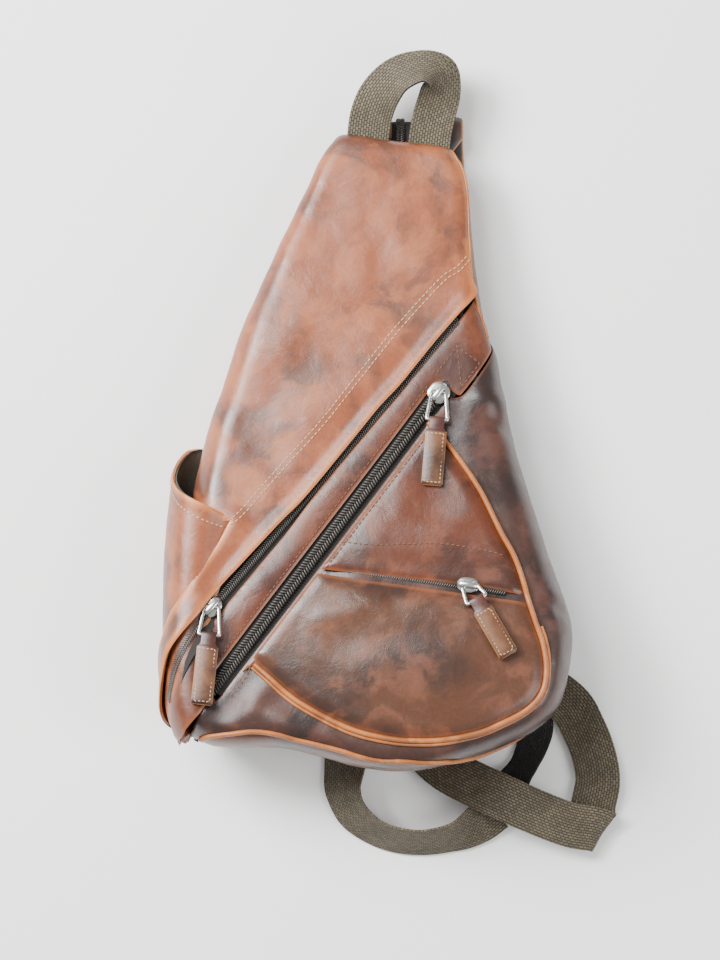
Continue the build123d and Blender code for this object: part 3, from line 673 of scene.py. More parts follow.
# %% [markdown]
# ## Front pocket
# The pocket front is a puffed panel, its top panel ends in a free hemmed edge over the pocket zip,
# and an orange piping runs round the outer seam.
# %% front pocket
PIPING_LINE = [(37, 229), (42, 223), (48, 216), (58, 203), (71, 183), (84, 156.5), (92, 142), (97, 129),
               (101.5, 113), (106, 99), (110.5, 86), (113, 71), (112, 57), (106.5, 47), (97, 39),
               (84, 32.5), (71, 27), (58, 24), (44.5, 22), (31, 21.5), (18, 22), (5, 24), (-8, 27),
               (-21, 32), (-34, 38.5), (-47, 46), (-57, 53.5), (-67, 62.5), (-76.5, 71)]
POCKET_HEM = [(-60, 138), (-33, 132.6), (-8, 129.3), (18, 126.1), (44.5, 123.6), (71, 120.3), (99, 115.6),
              (130, 111)]
piping_path = smooth_curve(PIPING_LINE, 1.5)
pocket_edge = np.array([beside(MAIN_ZIP, a, 8.8) for a in (main_length - 22, main_length / 2, 38)])
pocket_loop = np.vstack([parallel(piping_path, -1.2), pocket_edge])
hem_curve = smooth_curve(POCKET_HEM, 1.5)
front_high = np.array([beside(POCKET_ZIP, a, 5.6) for a in (-30, 20, 60, 100, 140, 170)])
top_loop = cut_loop(pocket_loop, hem_curve, (50, 160))
front_loop = cut_loop(pocket_loop, front_high, (30, 60))


def pocket_base(p):
    """The pocket stands 5 mm proud, rising over a few millimetres from its seams."""
    seam = near(p, piping_path, 9) + near(p, MAIN_ZIP, 14)
    return 5.0 - 3.4 * seam.clip(0, 1)


def pocket_top_lift(p, away):
    folds = relief(p) * calm(p) * 0.5 * (1 - near(p, hem_curve, 20))
    quilt = 0.5 * waves(p, 24, 5.0) * (1 - near(p, MAIN_TAB_REST, 24))
    return pocket_base(p) + folds - 0.9 * near(p, hem_curve, 3) + 0.9 * near(p, hem_curve, 14) + quilt


def pocket_front_lift(p, away):
    puff = 4.2 * bump(p, (30, 74), (92, 52)) + 1.6 * ridge(p, (-46, 98), (10, 112), 9)
    puff = puff - 1.2 * ridge(p, (-30, 84), (60, 92), 10)
    folds = relief(p) * 0.6 * (1 - near(p, POCKET_ZIP, 16))
    return pocket_base(p) + puff + folds - 0.3 * near(p, front_high, 4)


pocket_top = panel("pocket_top_leather", top_loop, pocket_top_lift)
pocket_front = panel("pocket_front_leather", front_loop, pocket_front_lift)
pocket_top.data.materials.append(STRIP)
pocket_front.data.materials.append(POCKET)
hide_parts("pocket_top_panel")
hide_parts("pocket_front_panel")


def tube(name, centre, radius, body="bag", sides=10, flat=1.0, up=None, closed=False):
    """A round or flattened tube along 3D pattern points."""
    centre = np.asarray(centre, float)
    if closed:
        along = unit(np.roll(centre, -1, 0) - np.roll(centre, 1, 0))
    else:
        along = unit(np.gradient(centre, axis=0))
    up = np.tile([0.0, 0, 1], (len(centre), 1)) if up is None else np.asarray(up, float)
    across = unit(np.cross(along, up))
    up = np.cross(across, along)
    turn = np.linspace(0, 2 * math.pi, sides, endpoint=False)
    rings = (centre[:, None, :] + radius * np.cos(turn)[None, :, None] * across[:, None, :]
             + radius * flat * np.sin(turn)[None, :, None] * up[:, None, :])
    count, faces = len(centre), []
    for i in range(count if closed else count - 1):
        j = (i + 1) % count
        faces += [(i * sides + k, i * sides + (k + 1) % sides, j * sides + (k + 1) % sides, j * sides + k)
                  for k in range(sides)]
    if not closed:
        faces += [tuple(range(sides))[::-1], tuple((count - 1) * sides + k for k in range(sides))]
    piece = make_mesh(name, rings.reshape(-1, 3), faces)
    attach(piece, body)
    return piece


def on_leather(flat, lift, extra=0.0):
    """Points on a lifted panel at flat pattern points, and the outward directions there."""
    flat = np.asarray(flat, float)
    normal = lay_normal(flat)
    return lay(flat) + normal * (lift(flat, np.full(len(flat), 50.0)) + extra)[:, None], normal


piping_centre, piping_up = on_leather(piping_path, lambda p, away: relief(p) * calm(p) + 1.9)
piping = tube("pocket_piping_cord", piping_centre, 1.75, up=piping_up)
piping.data.materials.append(PIPING)
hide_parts("pocket_piping")
welt_path = parallel(piping_path[piping_path[:, 1] < 95], 2.6)
welt_centre, welt_up = on_leather(welt_path, lambda p, away: relief(p) * calm(p) + 0.9)
welt = tube("pocket_piping_welt", welt_centre, 1.1, up=welt_up)
welt.data.materials.append(PIPING)
seam_centre, seam_up = on_leather(bottom_seam[(bottom_seam[:, 0] > -118) & (bottom_seam[:, 0] < 120)],
                                  lambda p, away: relief(p) * 0.9 + swell(p) * step(p[:, 1], 20, 60) + 0.4)
bottom_binding = tube("bottom_seam_binding", seam_centre, 1.7, up=seam_up)
bottom_binding.data.materials.append(PIPING)
side_binding_centre, side_up = on_leather(right_seam[(right_seam[:, 1] > 285) & (right_seam[:, 1] < 425)],
                                          lambda p, away: relief(p) * 0.8 - 0.2)
side_binding = tube("right_seam_binding", side_binding_centre, 1.0, up=side_up)
side_binding.data.materials.append(PIPING)
print("front pocket:", pocket_top.name, pocket_front.name, piping.name)

# %% [markdown]
# ## Repeats by Geometry Nodes
# Zip teeth and stitches are one small mesh set many times along a path. The node group resamples
# the path, turns each copy to the path's direction and its surface, shakes it a little from a
# fixed seed, realizes the copies and gives them their material.
# %% geometry nodes repeat


def repeat_group():
    """The node group that sets a piece along a path."""
    group = bpy.data.node_groups.new("set_along_path", "GeometryNodeTree")
    face = group.interface
    face.new_socket("Path", in_out="INPUT", socket_type="NodeSocketGeometry")
    for label, kind in (("Piece", "Object"), ("Spacing", "Float"), ("Shake", "Float"), ("Seed", "Int"),
                        ("Material", "Material")):
        face.new_socket(label, in_out="INPUT", socket_type="NodeSocket" + kind)
    face.new_socket("Pieces", in_out="OUTPUT", socket_type="NodeSocketGeometry")
    entry = add(group, "NodeGroupInput")
    ends = entry.outputs
    curve = add(group, "GeometryNodeMeshToCurve", {"Mesh": ends["Path"]})
    even = add(group, "GeometryNodeResampleCurve", {"Curve": curve.outputs[0], "Length": ends["Spacing"]},
               mode="LENGTH")
    tangent = add(group, "GeometryNodeInputTangent")
    up = add(group, "GeometryNodeInputNamedAttribute", {"Name": "up"}, data_type="FLOAT_VECTOR")
    turned = add(group, "FunctionNodeAlignRotationToVector", {"Vector": tangent.outputs[0]}, axis="X")
    level = add(group, "FunctionNodeAlignRotationToVector",
                {"Rotation": turned.outputs[0], "Vector": up.outputs[0]}, axis="Z", pivot_axis="X")
    low_shake = add(group, "ShaderNodeMath", {0: ends["Shake"], 1: -1.0}, operation="MULTIPLY")
    spin = add(group, "FunctionNodeRandomValue", {"Seed": ends["Seed"]}, data_type="FLOAT")
    group.links.new(low_shake.outputs[0], spin.inputs[2])
    group.links.new(ends["Shake"], spin.inputs[3])
    euler = add(group, "ShaderNodeCombineXYZ", {"Z": spin.outputs[1]})
    to_rotation = add(group, "FunctionNodeEulerToRotation", {0: euler.outputs[0]})
    shaken = add(group, "FunctionNodeRotateRotation", {0: level.outputs[0], 1: to_rotation.outputs[0]},
                 rotation_space="LOCAL")
    source = add(group, "GeometryNodeObjectInfo", {"Object": ends["Piece"]})
    placed = add(group, "GeometryNodeInstanceOnPoints",
                 {"Points": even.outputs[0], "Rotation": shaken.outputs[0],
                  "Instance": source.outputs["Geometry"]})
    real = add(group, "GeometryNodeRealizeInstances", {0: placed.outputs[0]})
    painted = add(group, "GeometryNodeSetMaterial",
                  {"Geometry": real.outputs[0], "Material": ends["Material"]})
    leave = add(group, "NodeGroupOutput")
    group.links.new(painted.outputs[0], leave.inputs[0])
    return group


REPEAT = repeat_group()


def set_along(name, points, ups, piece, spacing, material, shake=0.0, body="bag", seed=4):
    """Copies of a small piece along 3D pattern points, as one mesh."""
    path = bpy.data.meshes.new(name)
    path.from_pydata([tuple(v) for v in to_frame(points)], [(i, i + 1) for i in range(len(points) - 1)], [])
    up = path.attributes.new("up", "FLOAT_VECTOR", "POINT")
    up.data.foreach_set("vector", np.asarray(ups, np.float32).ravel())
    holder = bpy.data.objects.new(name, path)
    scene_collection.objects.link(holder)
    nodes = holder.modifiers.new("set_along", "NODES")
    nodes.node_group = REPEAT
    values = {"Piece": piece, "Spacing": spacing * MM, "Shake": shake, "Seed": seed, "Material": material}
    for item in REPEAT.interface.items_tree:
        if item.name in values:
            nodes[item.identifier] = values[item.name]
    holder.update_tag()
    apply_modifiers(holder)
    for polygon in holder.data.polygons:
        polygon.use_smooth = True
    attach(holder, body)
    return holder


def small_piece(name, half_sizes, lean=0.0, rings=6, around=8):
    """An egg-shaped bead in metres at the origin: a stitch or a zip tooth."""
    mesh = bpy.data.meshes.new(name)
    form = bmesh.new()
    bmesh.ops.create_uvsphere(form, u_segments=around, v_segments=rings, radius=1.0)
    bmesh.ops.rotate(form, verts=form.verts, matrix=Matrix.Rotation(math.pi / 2, 3, "X"))
    for v in form.verts:
        v.co = Vector([math.copysign(abs(c) ** 0.75, c) * s * MM for c, s in zip(v.co, half_sizes)])
        v.co.x += lean * abs(v.co.y)
    form.to_mesh(mesh)
    form.free()
    return bpy.data.objects.new(name, mesh)
print("repeat group:", REPEAT.name)

# %% [markdown]
# ## Thread, metal, nylon and cloth
# Waxed thread is pale pink on the tan panels and brown on the straps. The pulls are nickel plated
# zinc, the zip teeth are black nylon and the tape is a fine dark twill.
# %% small materials


def plain(name, color, rough=0.5, metal=0.0, grain=0.0, grain_mm=0.5, spread=0.12, spot_mm=6.0):
    """A finish with a slow change of tone and a fine grain."""
    material, tree, shader = new_material(name)
    place = add(tree, "ShaderNodeTexCoord").outputs["Object"]
    slow = add(tree, "ShaderNodeTexNoise",
               {"Vector": place, "Scale": 1 / (spot_mm * MM), "Detail": 4.0}).outputs["Fac"]
    tone = ramp(tree, slow, [(0.3, 1 - 2 * spread), (0.7, 1.0)])
    tree.links.new(mix(tree, 1.0, hexa(color), tone, "MULTIPLY"), shader.inputs["Base Color"])
    tree.links.new(ramp(tree, slow, [(0.3, rough), (0.7, min(1, rough + 0.12))]), shader.inputs["Roughness"])
    shader.inputs["Metallic"].default_value = metal
    if grain:
        fine = add(tree, "ShaderNodeTexNoise",
                   {"Vector": place, "Scale": 1 / (grain_mm * MM), "Detail": 3.0}).outputs["Fac"]
        bumped = add(tree, "ShaderNodeBump", {"Height": fine, "Strength": grain, "Distance": 0.0004})
        tree.links.new(bumped.outputs[0],
                       shader.inputs["Normal"])
    return material


THREAD = plain("waxed_thread_sand", "#c9a07c", 0.6)
THREAD_DARK = plain("waxed_thread_brown", "#6b4430", 0.6)
THREAD_WHITE = plain("thread_white", "#e9e6dc", 0.6)
NICKEL = plain("nickel_plated_zinc", "#c9cac6", 0.2, 1.0, 0.05, 0.8, 0.06)
TOOTH = plain("zip_tooth_black_nylon", "#45413d", 0.3)
TAPE = plain("zip_tape_twill", "#2a2725", 0.85, 0.0, 0.5, 0.35)
DARK_CLOTH = plain("grey_green_mesh_cloth", "#4a4a40", 0.9, 0.0, 0.8, 0.9)
STRAP_LEATHER = leather("shoulder_strap_leather",
                        "#3a2822", "#261a17", "#5c3a2c", "#a5774a", 0.45, 40, 1.0, 0.4)
BACK_CLOTH = plain("back_padding_cloth", "#2b2622", 0.9, 0.0, 0.8, 1.1)
PLASTIC = plain("buckle_black_acetal", "#1b1b1b", 0.42)
side_lining.data.materials.append(DARK_CLOTH)


def woven(name, yarn, gap, sheen):
    """Ribbed webbing: staggered yarn floats 2.6 mm long in rows 1.3 mm apart, with painted shade in the gaps
    between floats and a painted sheen on some floats.
    """
    material, tree, shader = new_material(name)
    weave = add(tree, "ShaderNodeAttribute", attribute_name="weave").outputs["Vector"]
    # the mortar colour darkens the gaps between floats as painted shade, and Color2 lightens some floats as a
    # painted sheen
    floats = add(tree, "ShaderNodeTexBrick", {
        "Vector": weave, "Color1": hexa(yarn), "Color2": hexa(sheen), "Mortar": hexa(gap), "Scale": 1.0,
        "Mortar Size": 0.42, "Mortar Smooth": 0.9, "Bias": -0.1, "Brick Width": 2.9, "Row Height": 1.75})
    place = add(tree, "ShaderNodeTexCoord").outputs["Object"]
    wear = add(tree, "ShaderNodeTexNoise",
               {"Vector": place, "Scale": 1 / (22 * MM), "Detail": 5.0}).outputs["Fac"]
    toned = mix(tree, 1.0, floats.outputs["Color"], ramp(tree, wear, [(0.3, 0.75), (0.7, 1.05)]), "MULTIPLY")
    tree.links.new(toned, shader.inputs["Base Color"])
    shader.inputs["Roughness"].default_value = 0.78
    high = math_node(tree, "SUBTRACT", 1.0, floats.outputs["Fac"])
    fibre = add(tree, "ShaderNodeTexNoise",
                {"Vector": place, "Scale": 1 / (0.5 * MM), "Detail": 2.0}).outputs["Fac"]
    high = math_node(tree, "ADD", high, math_node(tree, "MULTIPLY", fibre, 0.3))
    bumped = add(tree, "ShaderNodeBump", {"Height": high, "Strength": 0.8, "Distance": 0.0007})
    tree.links.new(bumped.outputs[0], shader.inputs["Normal"])
    return material


# in both webbings the gap colour is painted shade between the floats and the sheen colour is a painted sheen on
# some floats
OLIVE = woven("webbing_olive_cotton", "#5c5341", "#2d271f", "#736853")
BLACK_WEB = woven("webbing_black_nylon", "#1c1918", "#0b0a0a", "#2a2624")

# %% [markdown]
# ## Zips
# A tape under the leather, two rows of moulded teeth that mesh at the middle, a slider, a stirrup
# ring and a folded leather pull. The pulls ride on their own bodies, so the joints move them.
# %% zips


def straight(zip_line, start, end, across=0.0):
    """Flat points beside a zip, every 3 mm."""
    return np.array([beside(zip_line, a, across) for a in np.arange(start, end, 3.0)])


def flat_lift(height):
    return lambda p, away: np.full(len(p), float(height)) + swell(p)


def zip_chain(name, middle, base, row, pitch, half_height, replaced):
    """Tape and meshed teeth along a flat middle line, whose leather face is at a base height."""
    centre, up = on_leather(middle, flat_lift(base - 2.3))
    along = unit(np.gradient(centre, axis=0))
    across = np.cross(up, along)
    width = np.linspace(-9.6, 9.6, 9)
    grid = (centre[:, None, :] + width[None, :, None] * across[:, None, :]).reshape(-1, 3)
    faces = [(i * 9 + k, (i + 1) * 9 + k, (i + 1) * 9 + k + 1, i * 9 + k + 1)
             for i in range(len(centre) - 1) for k in range(8)]
    tape = make_mesh(name + "_tape_cloth", grid, faces)
    thicken(tape, 0.8)
    tape.data.materials.append(TAPE)
    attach(tape, "bag")
    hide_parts(*replaced)
    for side in (1, -1):
        tooth = small_piece(name + "_tooth", (pitch * 0.40, row * 0.62, half_height), lean=0.0)
        for v in tooth.data.vertices:
            v.co.x += 0.45 * side * v.co.y
        line = centre + across * side * row * 0.52 + up * (half_height * 0.9)
        shift = along * (pitch / 2 if side > 0 else 0)
        row_name = f"{name}_teeth_{'right' if side > 0 else 'left'}"
        teeth = set_along(row_name, line + shift, up, tooth, pitch, TOOTH)
    return centre, up


flap_middle = np.vstack([straight(FLAP_ZIP, 3, flap_length - 2),
                         smooth_curve([beside(FLAP_ZIP, flap_length, 0), (-117, 90), (-122.5, 79), (-128.5, 64),
                                       (-134, 48)], 3.0)])
zip_chain("flap_zip", flap_middle, 0.0, 2.6, 1.5, 1.4, ["flap_zip_tape", "flap_zip_coil", "flap_zip_stops"])
zip_chain("main_zip", straight(MAIN_ZIP, 3, main_length - 1), 0.0, 3.5, 2.0, 1.7,
          ["main_zip_tape", "main_zip_coil", "main_zip_stops"])
zip_chain("pocket_zip", straight(POCKET_ZIP, 3, 108), 5.0, 2.6, 1.5, 1.4,
          ["pocket_zip_tape", "pocket_zip_coil", "pocket_zip_stops"])

TILT = math.atan((FRONT_Z_BOTTOM - FRONT_Z_TOP) / BAG_LENGTH)
FACE_UP = np.array((0, math.sin(TILT), math.cos(TILT)))
joints = {j["name"]: j for j in frame["record"]["behaviour"]["joints"]}


def solid_from(name, sections, body, material, closed_ends=True):
    """A closed skin through rings of points."""
    count, sides = len(sections), len(sections[0])
    faces = [(i * sides + k, i * sides + (k + 1) % sides,
              (i + 1) * sides + (k + 1) % sides, (i + 1) * sides + k)
             for i in range(count - 1) for k in range(sides)]
    if closed_ends:
        faces += [tuple(range(sides))[::-1], tuple((count - 1) * sides + k for k in range(sides))]
    piece = make_mesh(name, np.array(sections).reshape(-1, 3), faces)
    piece.data.set_sharp_from_angle(angle=math.radians(50))
    piece.data.materials.append(material)
    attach(piece, body)
    return piece


def zip_pull(name, bar_lift, half_width, tab_size, zip_line):
    """The slider, stirrup ring and leather pull of one zip, at its record's joints."""
    bar = from_frame(joints[name + "_ring_swing"]["pos_m"])
    hook = from_frame(joints[name + "_tab_swing"]["pos_m"])
    along = unit(np.array([*(zip_line[1] - zip_line[0]), 0.0]))
    along = unit(along - FACE_UP * (along @ FACE_UP))
    across = np.cross(FACE_UP, along)
    base = bar - FACE_UP * bar_lift
    turn = np.linspace(0, 2 * math.pi, 40, endpoint=False)

    def oval(long_half, wide_half, height, power=0.8):
        c, s = np.cos(turn), np.sin(turn)
        x = np.sign(c) * abs(c) ** power * long_half
        y = np.sign(s) * abs(s) ** power * wide_half
        return base + x[:, None] * along + y[:, None] * across + FACE_UP * height

    top = bar_lift - 0.7
    plate = [oval(6.4, half_width - 0.4, top - 1.75), oval(6.9, half_width, top - 1.4),
             oval(6.9, half_width, top - 0.6), oval(6.3, half_width - 0.6, top - 0.15),
             oval(4.8, half_width - 1.9, top)]
    slider = solid_from(name + "_slider_plate", plate, name + "_slider", NICKEL)
    lowest, under = oval(6.4, half_width - 1.6, -3.9), oval(6.4, half_width - 1.6, top - 1.6)
    solid_from(name + "_slider_body", [lowest * 0.5 + under * 0.5, under], name + "_slider", NICKEL)
    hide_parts(name + "_slider")
    arch = [base + along * x + FACE_UP * z for x, z in
            ((-7.4, top - 1.0), (-6.6, top + 0.9), (-4.6, top + 2.5), (-1.5, top + 3.1), (1.5, top + 3.1),
             (4.6, top + 2.5), (6.4, top + 0.9), (7.0, top - 1.0))]
    bridge = tube(name + "_bridge", smooth_curve(arch, 0.8), 2.0, name + "_slider", 12, 0.42,
                  up=np.tile(FACE_UP, (len(smooth_curve(arch, 0.8)), 1)))
    bridge.data.materials.append(NICKEL)
    lean = unit(hook - bar)
    wide = unit(np.cross(lean, FACE_UP))
    length = np.linalg.norm(hook - bar)
    corner = [(0, -3.6), (0, 3.6), (2.5, 4.8), (length * 0.6, 5.9), (length - 1.6, 6.6), (length, 5.6),
              (length, -5.6), (length - 1.6, -6.6), (length * 0.6, -5.9), (2.5, -4.8)]
    wire = smooth_curve([bar + lean * a + wide * b for a, b in corner], 0.7, closed=True)
    ring_up = np.tile(np.cross(wide, lean), (len(wire), 1))
    ring = tube(name + "_stirrup", wire, 1.35, name + "_ring", 12, 0.75, up=ring_up, closed=True)
    ring.data.materials.append(NICKEL)
    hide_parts(name + "_ring")
    leather_pull(name, hook, tab_size)


def leather_pull(name, hook, tab_size):
    """A folded leather pull from a ring's far bar, flat beside the face."""
    width, length = tab_size
    low, high = (from_frame(v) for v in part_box(name + "_tab"))
    middle = (low + high) / 2
    down = middle - hook
    down = unit(down - FACE_UP * (down @ FACE_UP))
    side = np.cross(FACE_UP, down)
    sections = []
    neck = [-1.9, -1.6, -0.9, 0.4, 3.0, 6.0, 7.4, 8.4, 10.0]
    for x in [*neck, *np.linspace(13, length - 3, 12), length - 1.2, length - 0.4, length]:
        half = 5.0 if x < 7 else min(width / 2, 5.0 + (x - 7) * 3)
        thick = 1.7 if x > 0 else max(0.25, math.sqrt(max(0.0, 1.9 ** 2 - x * x)) * 0.9)
        if x > length - 1.5:
            half -= 0.5 * (x - length + 1.5) ** 2
            thick -= 0.35 * (x - length + 1.5)
        bow = 0.5 * math.sin(math.pi * max(0.0, min(1.0, x / length)))
        outline = [(-half, -thick + 0.3), (-half + 0.35, -thick), (half - 0.35, -thick), (half, -thick + 0.3),
                   (half, thick - 0.3), (half - 0.35, thick), (-half + 0.35, thick), (-half, thick - 0.3)]
        sections.append([hook + down * x + side * a + FACE_UP * (b + bow) for a, b in outline])
    tab = solid_from(name + "_leather_pull", sections, name + "_tab", PULL)
    from_hook = np.array([from_frame(v.co) - hook for v in tab.data.vertices])
    from_end = abs(length - from_hook @ down)
    from_side = abs(width / 2 - abs(from_hook @ side))
    reach = np.minimum(from_end, from_side)
    worn = tab.data.attributes.new("edge_mm", "FLOAT", "POINT")
    worn.data.foreach_set("value", reach.astype(np.float32) * 3)
    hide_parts(name + "_tab")
    box = [(9.5, -1), (length - 2.2, -1), (length - 2.2, 1), (9.5, 1), (9.5, -1)]
    line = [hook + down * x + side * s * (width / 2 - 2.0)
            + FACE_UP * (1.72 + 0.5 * math.sin(math.pi * x / length)) for x, s in box]
    line = resample(np.array(line), 1.0, closed=False)
    seam = set_along(name + "_pull_stitches", line, np.tile(FACE_UP, (len(line), 1)), STITCH_SMALL,
                     2.6, THREAD, 0.08, name + "_tab")


STITCH = small_piece("stitch", (1.35, 0.42, 0.38))
STITCH_SMALL = small_piece("small_stitch", (0.95, 0.3, 0.28))
zip_pull("flap_zip", 3.2, 5.4, (14.0, 46.0), FLAP_ZIP)
zip_pull("main_zip", 3.8, 7.0, (14.0, 44.0), MAIN_ZIP)
zip_pull("pocket_zip", 3.2, 4.9, (13.0, 42.0), POCKET_ZIP)
print("zips, mm long:", round(flap_length), round(main_length))

# %% [markdown]
# ## Seams
# Lockstitch runs beside the panel edges, two rows on the flap, each stitch about 3 mm.
# %% stitches


def stitch_row(name, flat, lift, thread=None, spacing=3.5, extra=0.15):
    """A row of stitches on a lifted panel along flat points."""
    points, up = on_leather(flat, lift, extra)
    row = set_along(name, points, up, STITCH, spacing, thread or THREAD, 0.12)
    return row


FLAP_STITCHES = [(61.5, 338), (55, 331), (44.5, 323.5), (18.3, 294.8), (-7.9, 262), (-34, 229), (-60, 200.4),
                 (-86.5, 170.3), (-93, 165)]
flap_row = smooth_curve(FLAP_STITCHES, 2.0)
stitch_row("flap_stitches_outer", flap_row, upper_lift)
stitch_row("flap_stitches_inner", parallel(flap_row, 3.2), upper_lift)
HEM_STITCHES = [(-18, 150), (-1, 148), (22, 148.3), (44.5, 148.6), (71, 144.8), (84, 141.5)]
stitch_row("hem_stitches", smooth_curve(HEM_STITCHES, 2.0), pocket_top_lift, THREAD_DARK)
stitch_row("strip_stitches", straight(MAIN_ZIP, 14, main_length - 4, -8.6), strip_lift, THREAD_DARK)
stitch_row("lower_stitches", straight(MAIN_ZIP, 22, main_length - 6, 11.2), pocket_top_lift, THREAD_DARK)
MOUTH_STITCHES = [(-98, 160.5), (-109, 164), (-119, 173), (-127, 187), (-133, 199)]
stitch_row("mouth_stitches", smooth_curve(MOUTH_STITCHES, 2.0), side_lift)
patch = [beside(MAIN_ZIP, a, c) for a, c in ((1, -9), (-20, -9), (-20, 9.5), (0, 9.5), (-20, -9))]
stitch_row("zip_end_box_stitches", resample(np.array(patch), 1.5, closed=False), strip_lift, THREAD_DARK)
print("flap stitch rows follow", len(flap_row), "points")

# %% [markdown]
# ## Webbing
# Flat cotton webbing, 30 mm wide, is laid through stations: a middle point and the direction
# across. It keeps its width, twists where it is folded, and carries its own weave coordinates.
# %% webbing


def webbing(name, stations, width, thickness, material, replaced, body="bag", cup=0.0):
    """A strap through (point, across) stations."""
    points = smooth_curve([p for p, _ in stations], 1.6)
    knots = np.array([p for p, _ in stations], float)
    spans = np.concatenate([[0], np.cumsum(np.linalg.norm(np.diff(knots, axis=0), axis=1))])
    run = np.concatenate([[0], np.cumsum(np.linalg.norm(np.diff(points, axis=0), axis=1))])
    share = run / run[-1] * spans[-1]
    directions = np.array([d for _, d in stations], float)
    across = np.column_stack([np.interp(share, spans, directions[:, k]) for k in range(3)])
    for _ in range(3):
        across[1:-1] = (across[:-2] + 2 * across[1:-1] + across[2:]) / 4
    along = unit(np.gradient(points, axis=0))
    across = unit(across - along * (across * along).sum(1, keepdims=True))
    up = np.cross(along, across)
    columns = np.linspace(-0.5, 0.5, 13)
    wave = np.array([noise.noise(Vector((s / 30, width, 0.5))) for s in run])
    rise = (columns[None, :] * 2) ** 2 * cup + wave[:, None] * 0.5 * columns[None, :] * 2
    grid = (points[:, None, :] + columns[None, :, None] * width * across[:, None, :]
            + rise[:, :, None] * up[:, None, :])
    faces = [(i * 13 + k, i * 13 + k + 1, (i + 1) * 13 + k + 1, (i + 1) * 13 + k)
             for i in range(len(points) - 1) for k in range(12)]
    piece = make_mesh(name, grid.reshape(-1, 3), faces)
    weave = piece.data.attributes.new("weave", "FLOAT_VECTOR", "POINT")
    values = np.zeros((len(points), 13, 3), np.float32)
    values[:, :, 0], values[:, :, 1] = run[:, None], columns[None, :] * width
    weave.data.foreach_set("vector", values.ravel())
    solid = piece.modifiers.new("thickness", "SOLIDIFY")
    solid.thickness, solid.offset = thickness * MM, 0
    soft = piece.modifiers.new("soft_edges", "BEVEL")
    soft.width, soft.segments, soft.limit_method = 0.45 * MM, 2, "ANGLE"
    apply_modifiers(piece)
    piece.data.set_sharp_from_angle(angle=math.radians(60))
    piece.data.materials.append(material)
    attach(piece, body)
    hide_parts(*replaced)
    return points, across, np.cross(along, across)


HANDLE = [((-3.0, 414, 24.5), (1, -.12, 0)), ((-2.3, 421, 26), (1, -.1, 0)),
          ((-0.5, 433, 28), (1, -.1, .1)), ((4.5, 445.5, 32), (.9, -.3, .3)),
          ((13.5, 456.5, 37), (.68, -.62, .5)), ((24, 462.5, 40), (.35, -.85, .6)),
          ((36, 464.5, 41), (-.25, -.85, .65)), ((45.5, 459, 38), (-.8, -.5, .45)),
          ((45, 447, 33), (-1, 0, .25)), ((41.5, 434, 29), (-1, .12, .1)), ((39, 422, 26.5), (-1, .15, 0)),
          ((37.8, 412, 25), (-1, .16, 0))]
handle_points, handle_across, handle_up = webbing("handle_webbing", HANDLE, 28, 1.6, OLIVE,
                                                  ["handle_loop"], "handle_loop")
UNDER = 3.6
LEFT_LOOP = [((-14, 32, UNDER), (1, .05, 0)), ((-14.5, 22, UNDER), (1, .05, 0)),
             ((-16, 12, 5.0), (.97, 0, .15)), ((-18, 0, 8.5), (.9, 0, .45)),
             ((-19, -15, 11.8), (.8, .1, .65)), ((-12, -31, 13.0), (.55, .5, .75)),
             ((6, -44, 13.5), (.15, .6, .8)), ((30, -49, 13.5), (0, .58, .82)),
             ((54, -45.5, 12.5), (-.25, .6, .75)), ((71, -37, 9.5), (-.55, .65, .5)),
             ((81.4, -27.8, 7.0), (-.8, .5, .2))]
webbing("left_webbing_loop", LEFT_LOOP, 30, 1.6, OLIVE, ["left_webbing"])
RIGHT_LOOP = [((-5.35, 88.4, UNDER), (1, 0, 0)), ((-5.35, 80, UNDER), (1, 0, 0)),
              ((-1, 66, UNDER), (.92, .35, 0)), ((8, 52, UNDER), (.9, .42, 0)),
              ((22, 30, UNDER), (.85, .52, 0)), ((36, 12, 4.6), (.8, .6, 0)), ((49, 0, 11), (.66, .75, 0)),
              ((66, -9, 20), (.5, .86, .05)), ((86, -18, 25), (.46, .88, .08)),
              ((108, -28, 21), (.46, .87, .1)), ((131, -37, 16), (.48, .87, .1)),
              ((147, -40, 13.5), (.53, .85, .05)), ((153.5, -42, 9), (.57, .82, 0)),
              ((148.5, -37, 4.5), (.6, .8, 0)), ((147.5, -26, 4.5), (.8, .58, .1)),
              ((150.5, -8, 7), (.95, .2, .25)), ((147.5, 10, 9), (.95, .2, .3)),
              ((140.5, 27.5, 8), (.95, .28, .22)), ((131, 43, 5.5), (.85, .5, .05)),
              ((108, 60, 4.9), (.65, .76, 0))]
webbing("right_webbing_loop", RIGHT_LOOP, 30, 1.6, OLIVE, ["right_webbing"])
BLACK = [((43.35, 104.7, UNDER), (1, 0, 0)), ((43.35, 97, UNDER), (1, 0, 0)),
         ((54, 86, 3.0), (.75, .65, 0)), ((74, 72, 2.0), (.62, .78, 0)), ((95, 56, 1.8), (.66, .75, 0)),
         ((108, 40, 1.8), (.85, .5, 0)), ((110, 27, 2.8), (.95, .05, .04)),
         ((107, 15, 6.5), (.8, -.2, .4)), ((102, 4, 10), (.65, -.3, .6)), ((97, -4, 11), (.65, -.35, .55)),
         ((93.6, -9.8, 9.5), (.8, -.45, .2))]
webbing("black_strap_webbing", BLACK, 22, 1.4, BLACK_WEB, ["black_webbing"])
tack_row = int(len(handle_points) * 0.53)
top_row, row_across, row_up = handle_points[tack_row], handle_across[tack_row], handle_up[tack_row]
bar_tack = np.array([top_row + row_across * a + row_up * 1.0 for a in np.linspace(-12.5, 12.5, 30)])
set_along("handle_bar_tack", bar_tack, np.tile(row_up, (30, 1)), STITCH, 3.4, THREAD_WHITE, 0.1,
          "handle_loop")
print("handle webbing stations:", len(handle_points))

# %% [markdown]
# ## Padded pieces
# The back panel and the two shoulder straps are foam under cloth and leather. Each starts as a
# slab with rounded edges. A short cloth simulation with a little air pressure, held at the sewn
# edge, draws the cover into soft hollows and rises; then it is frozen.
# %% padding


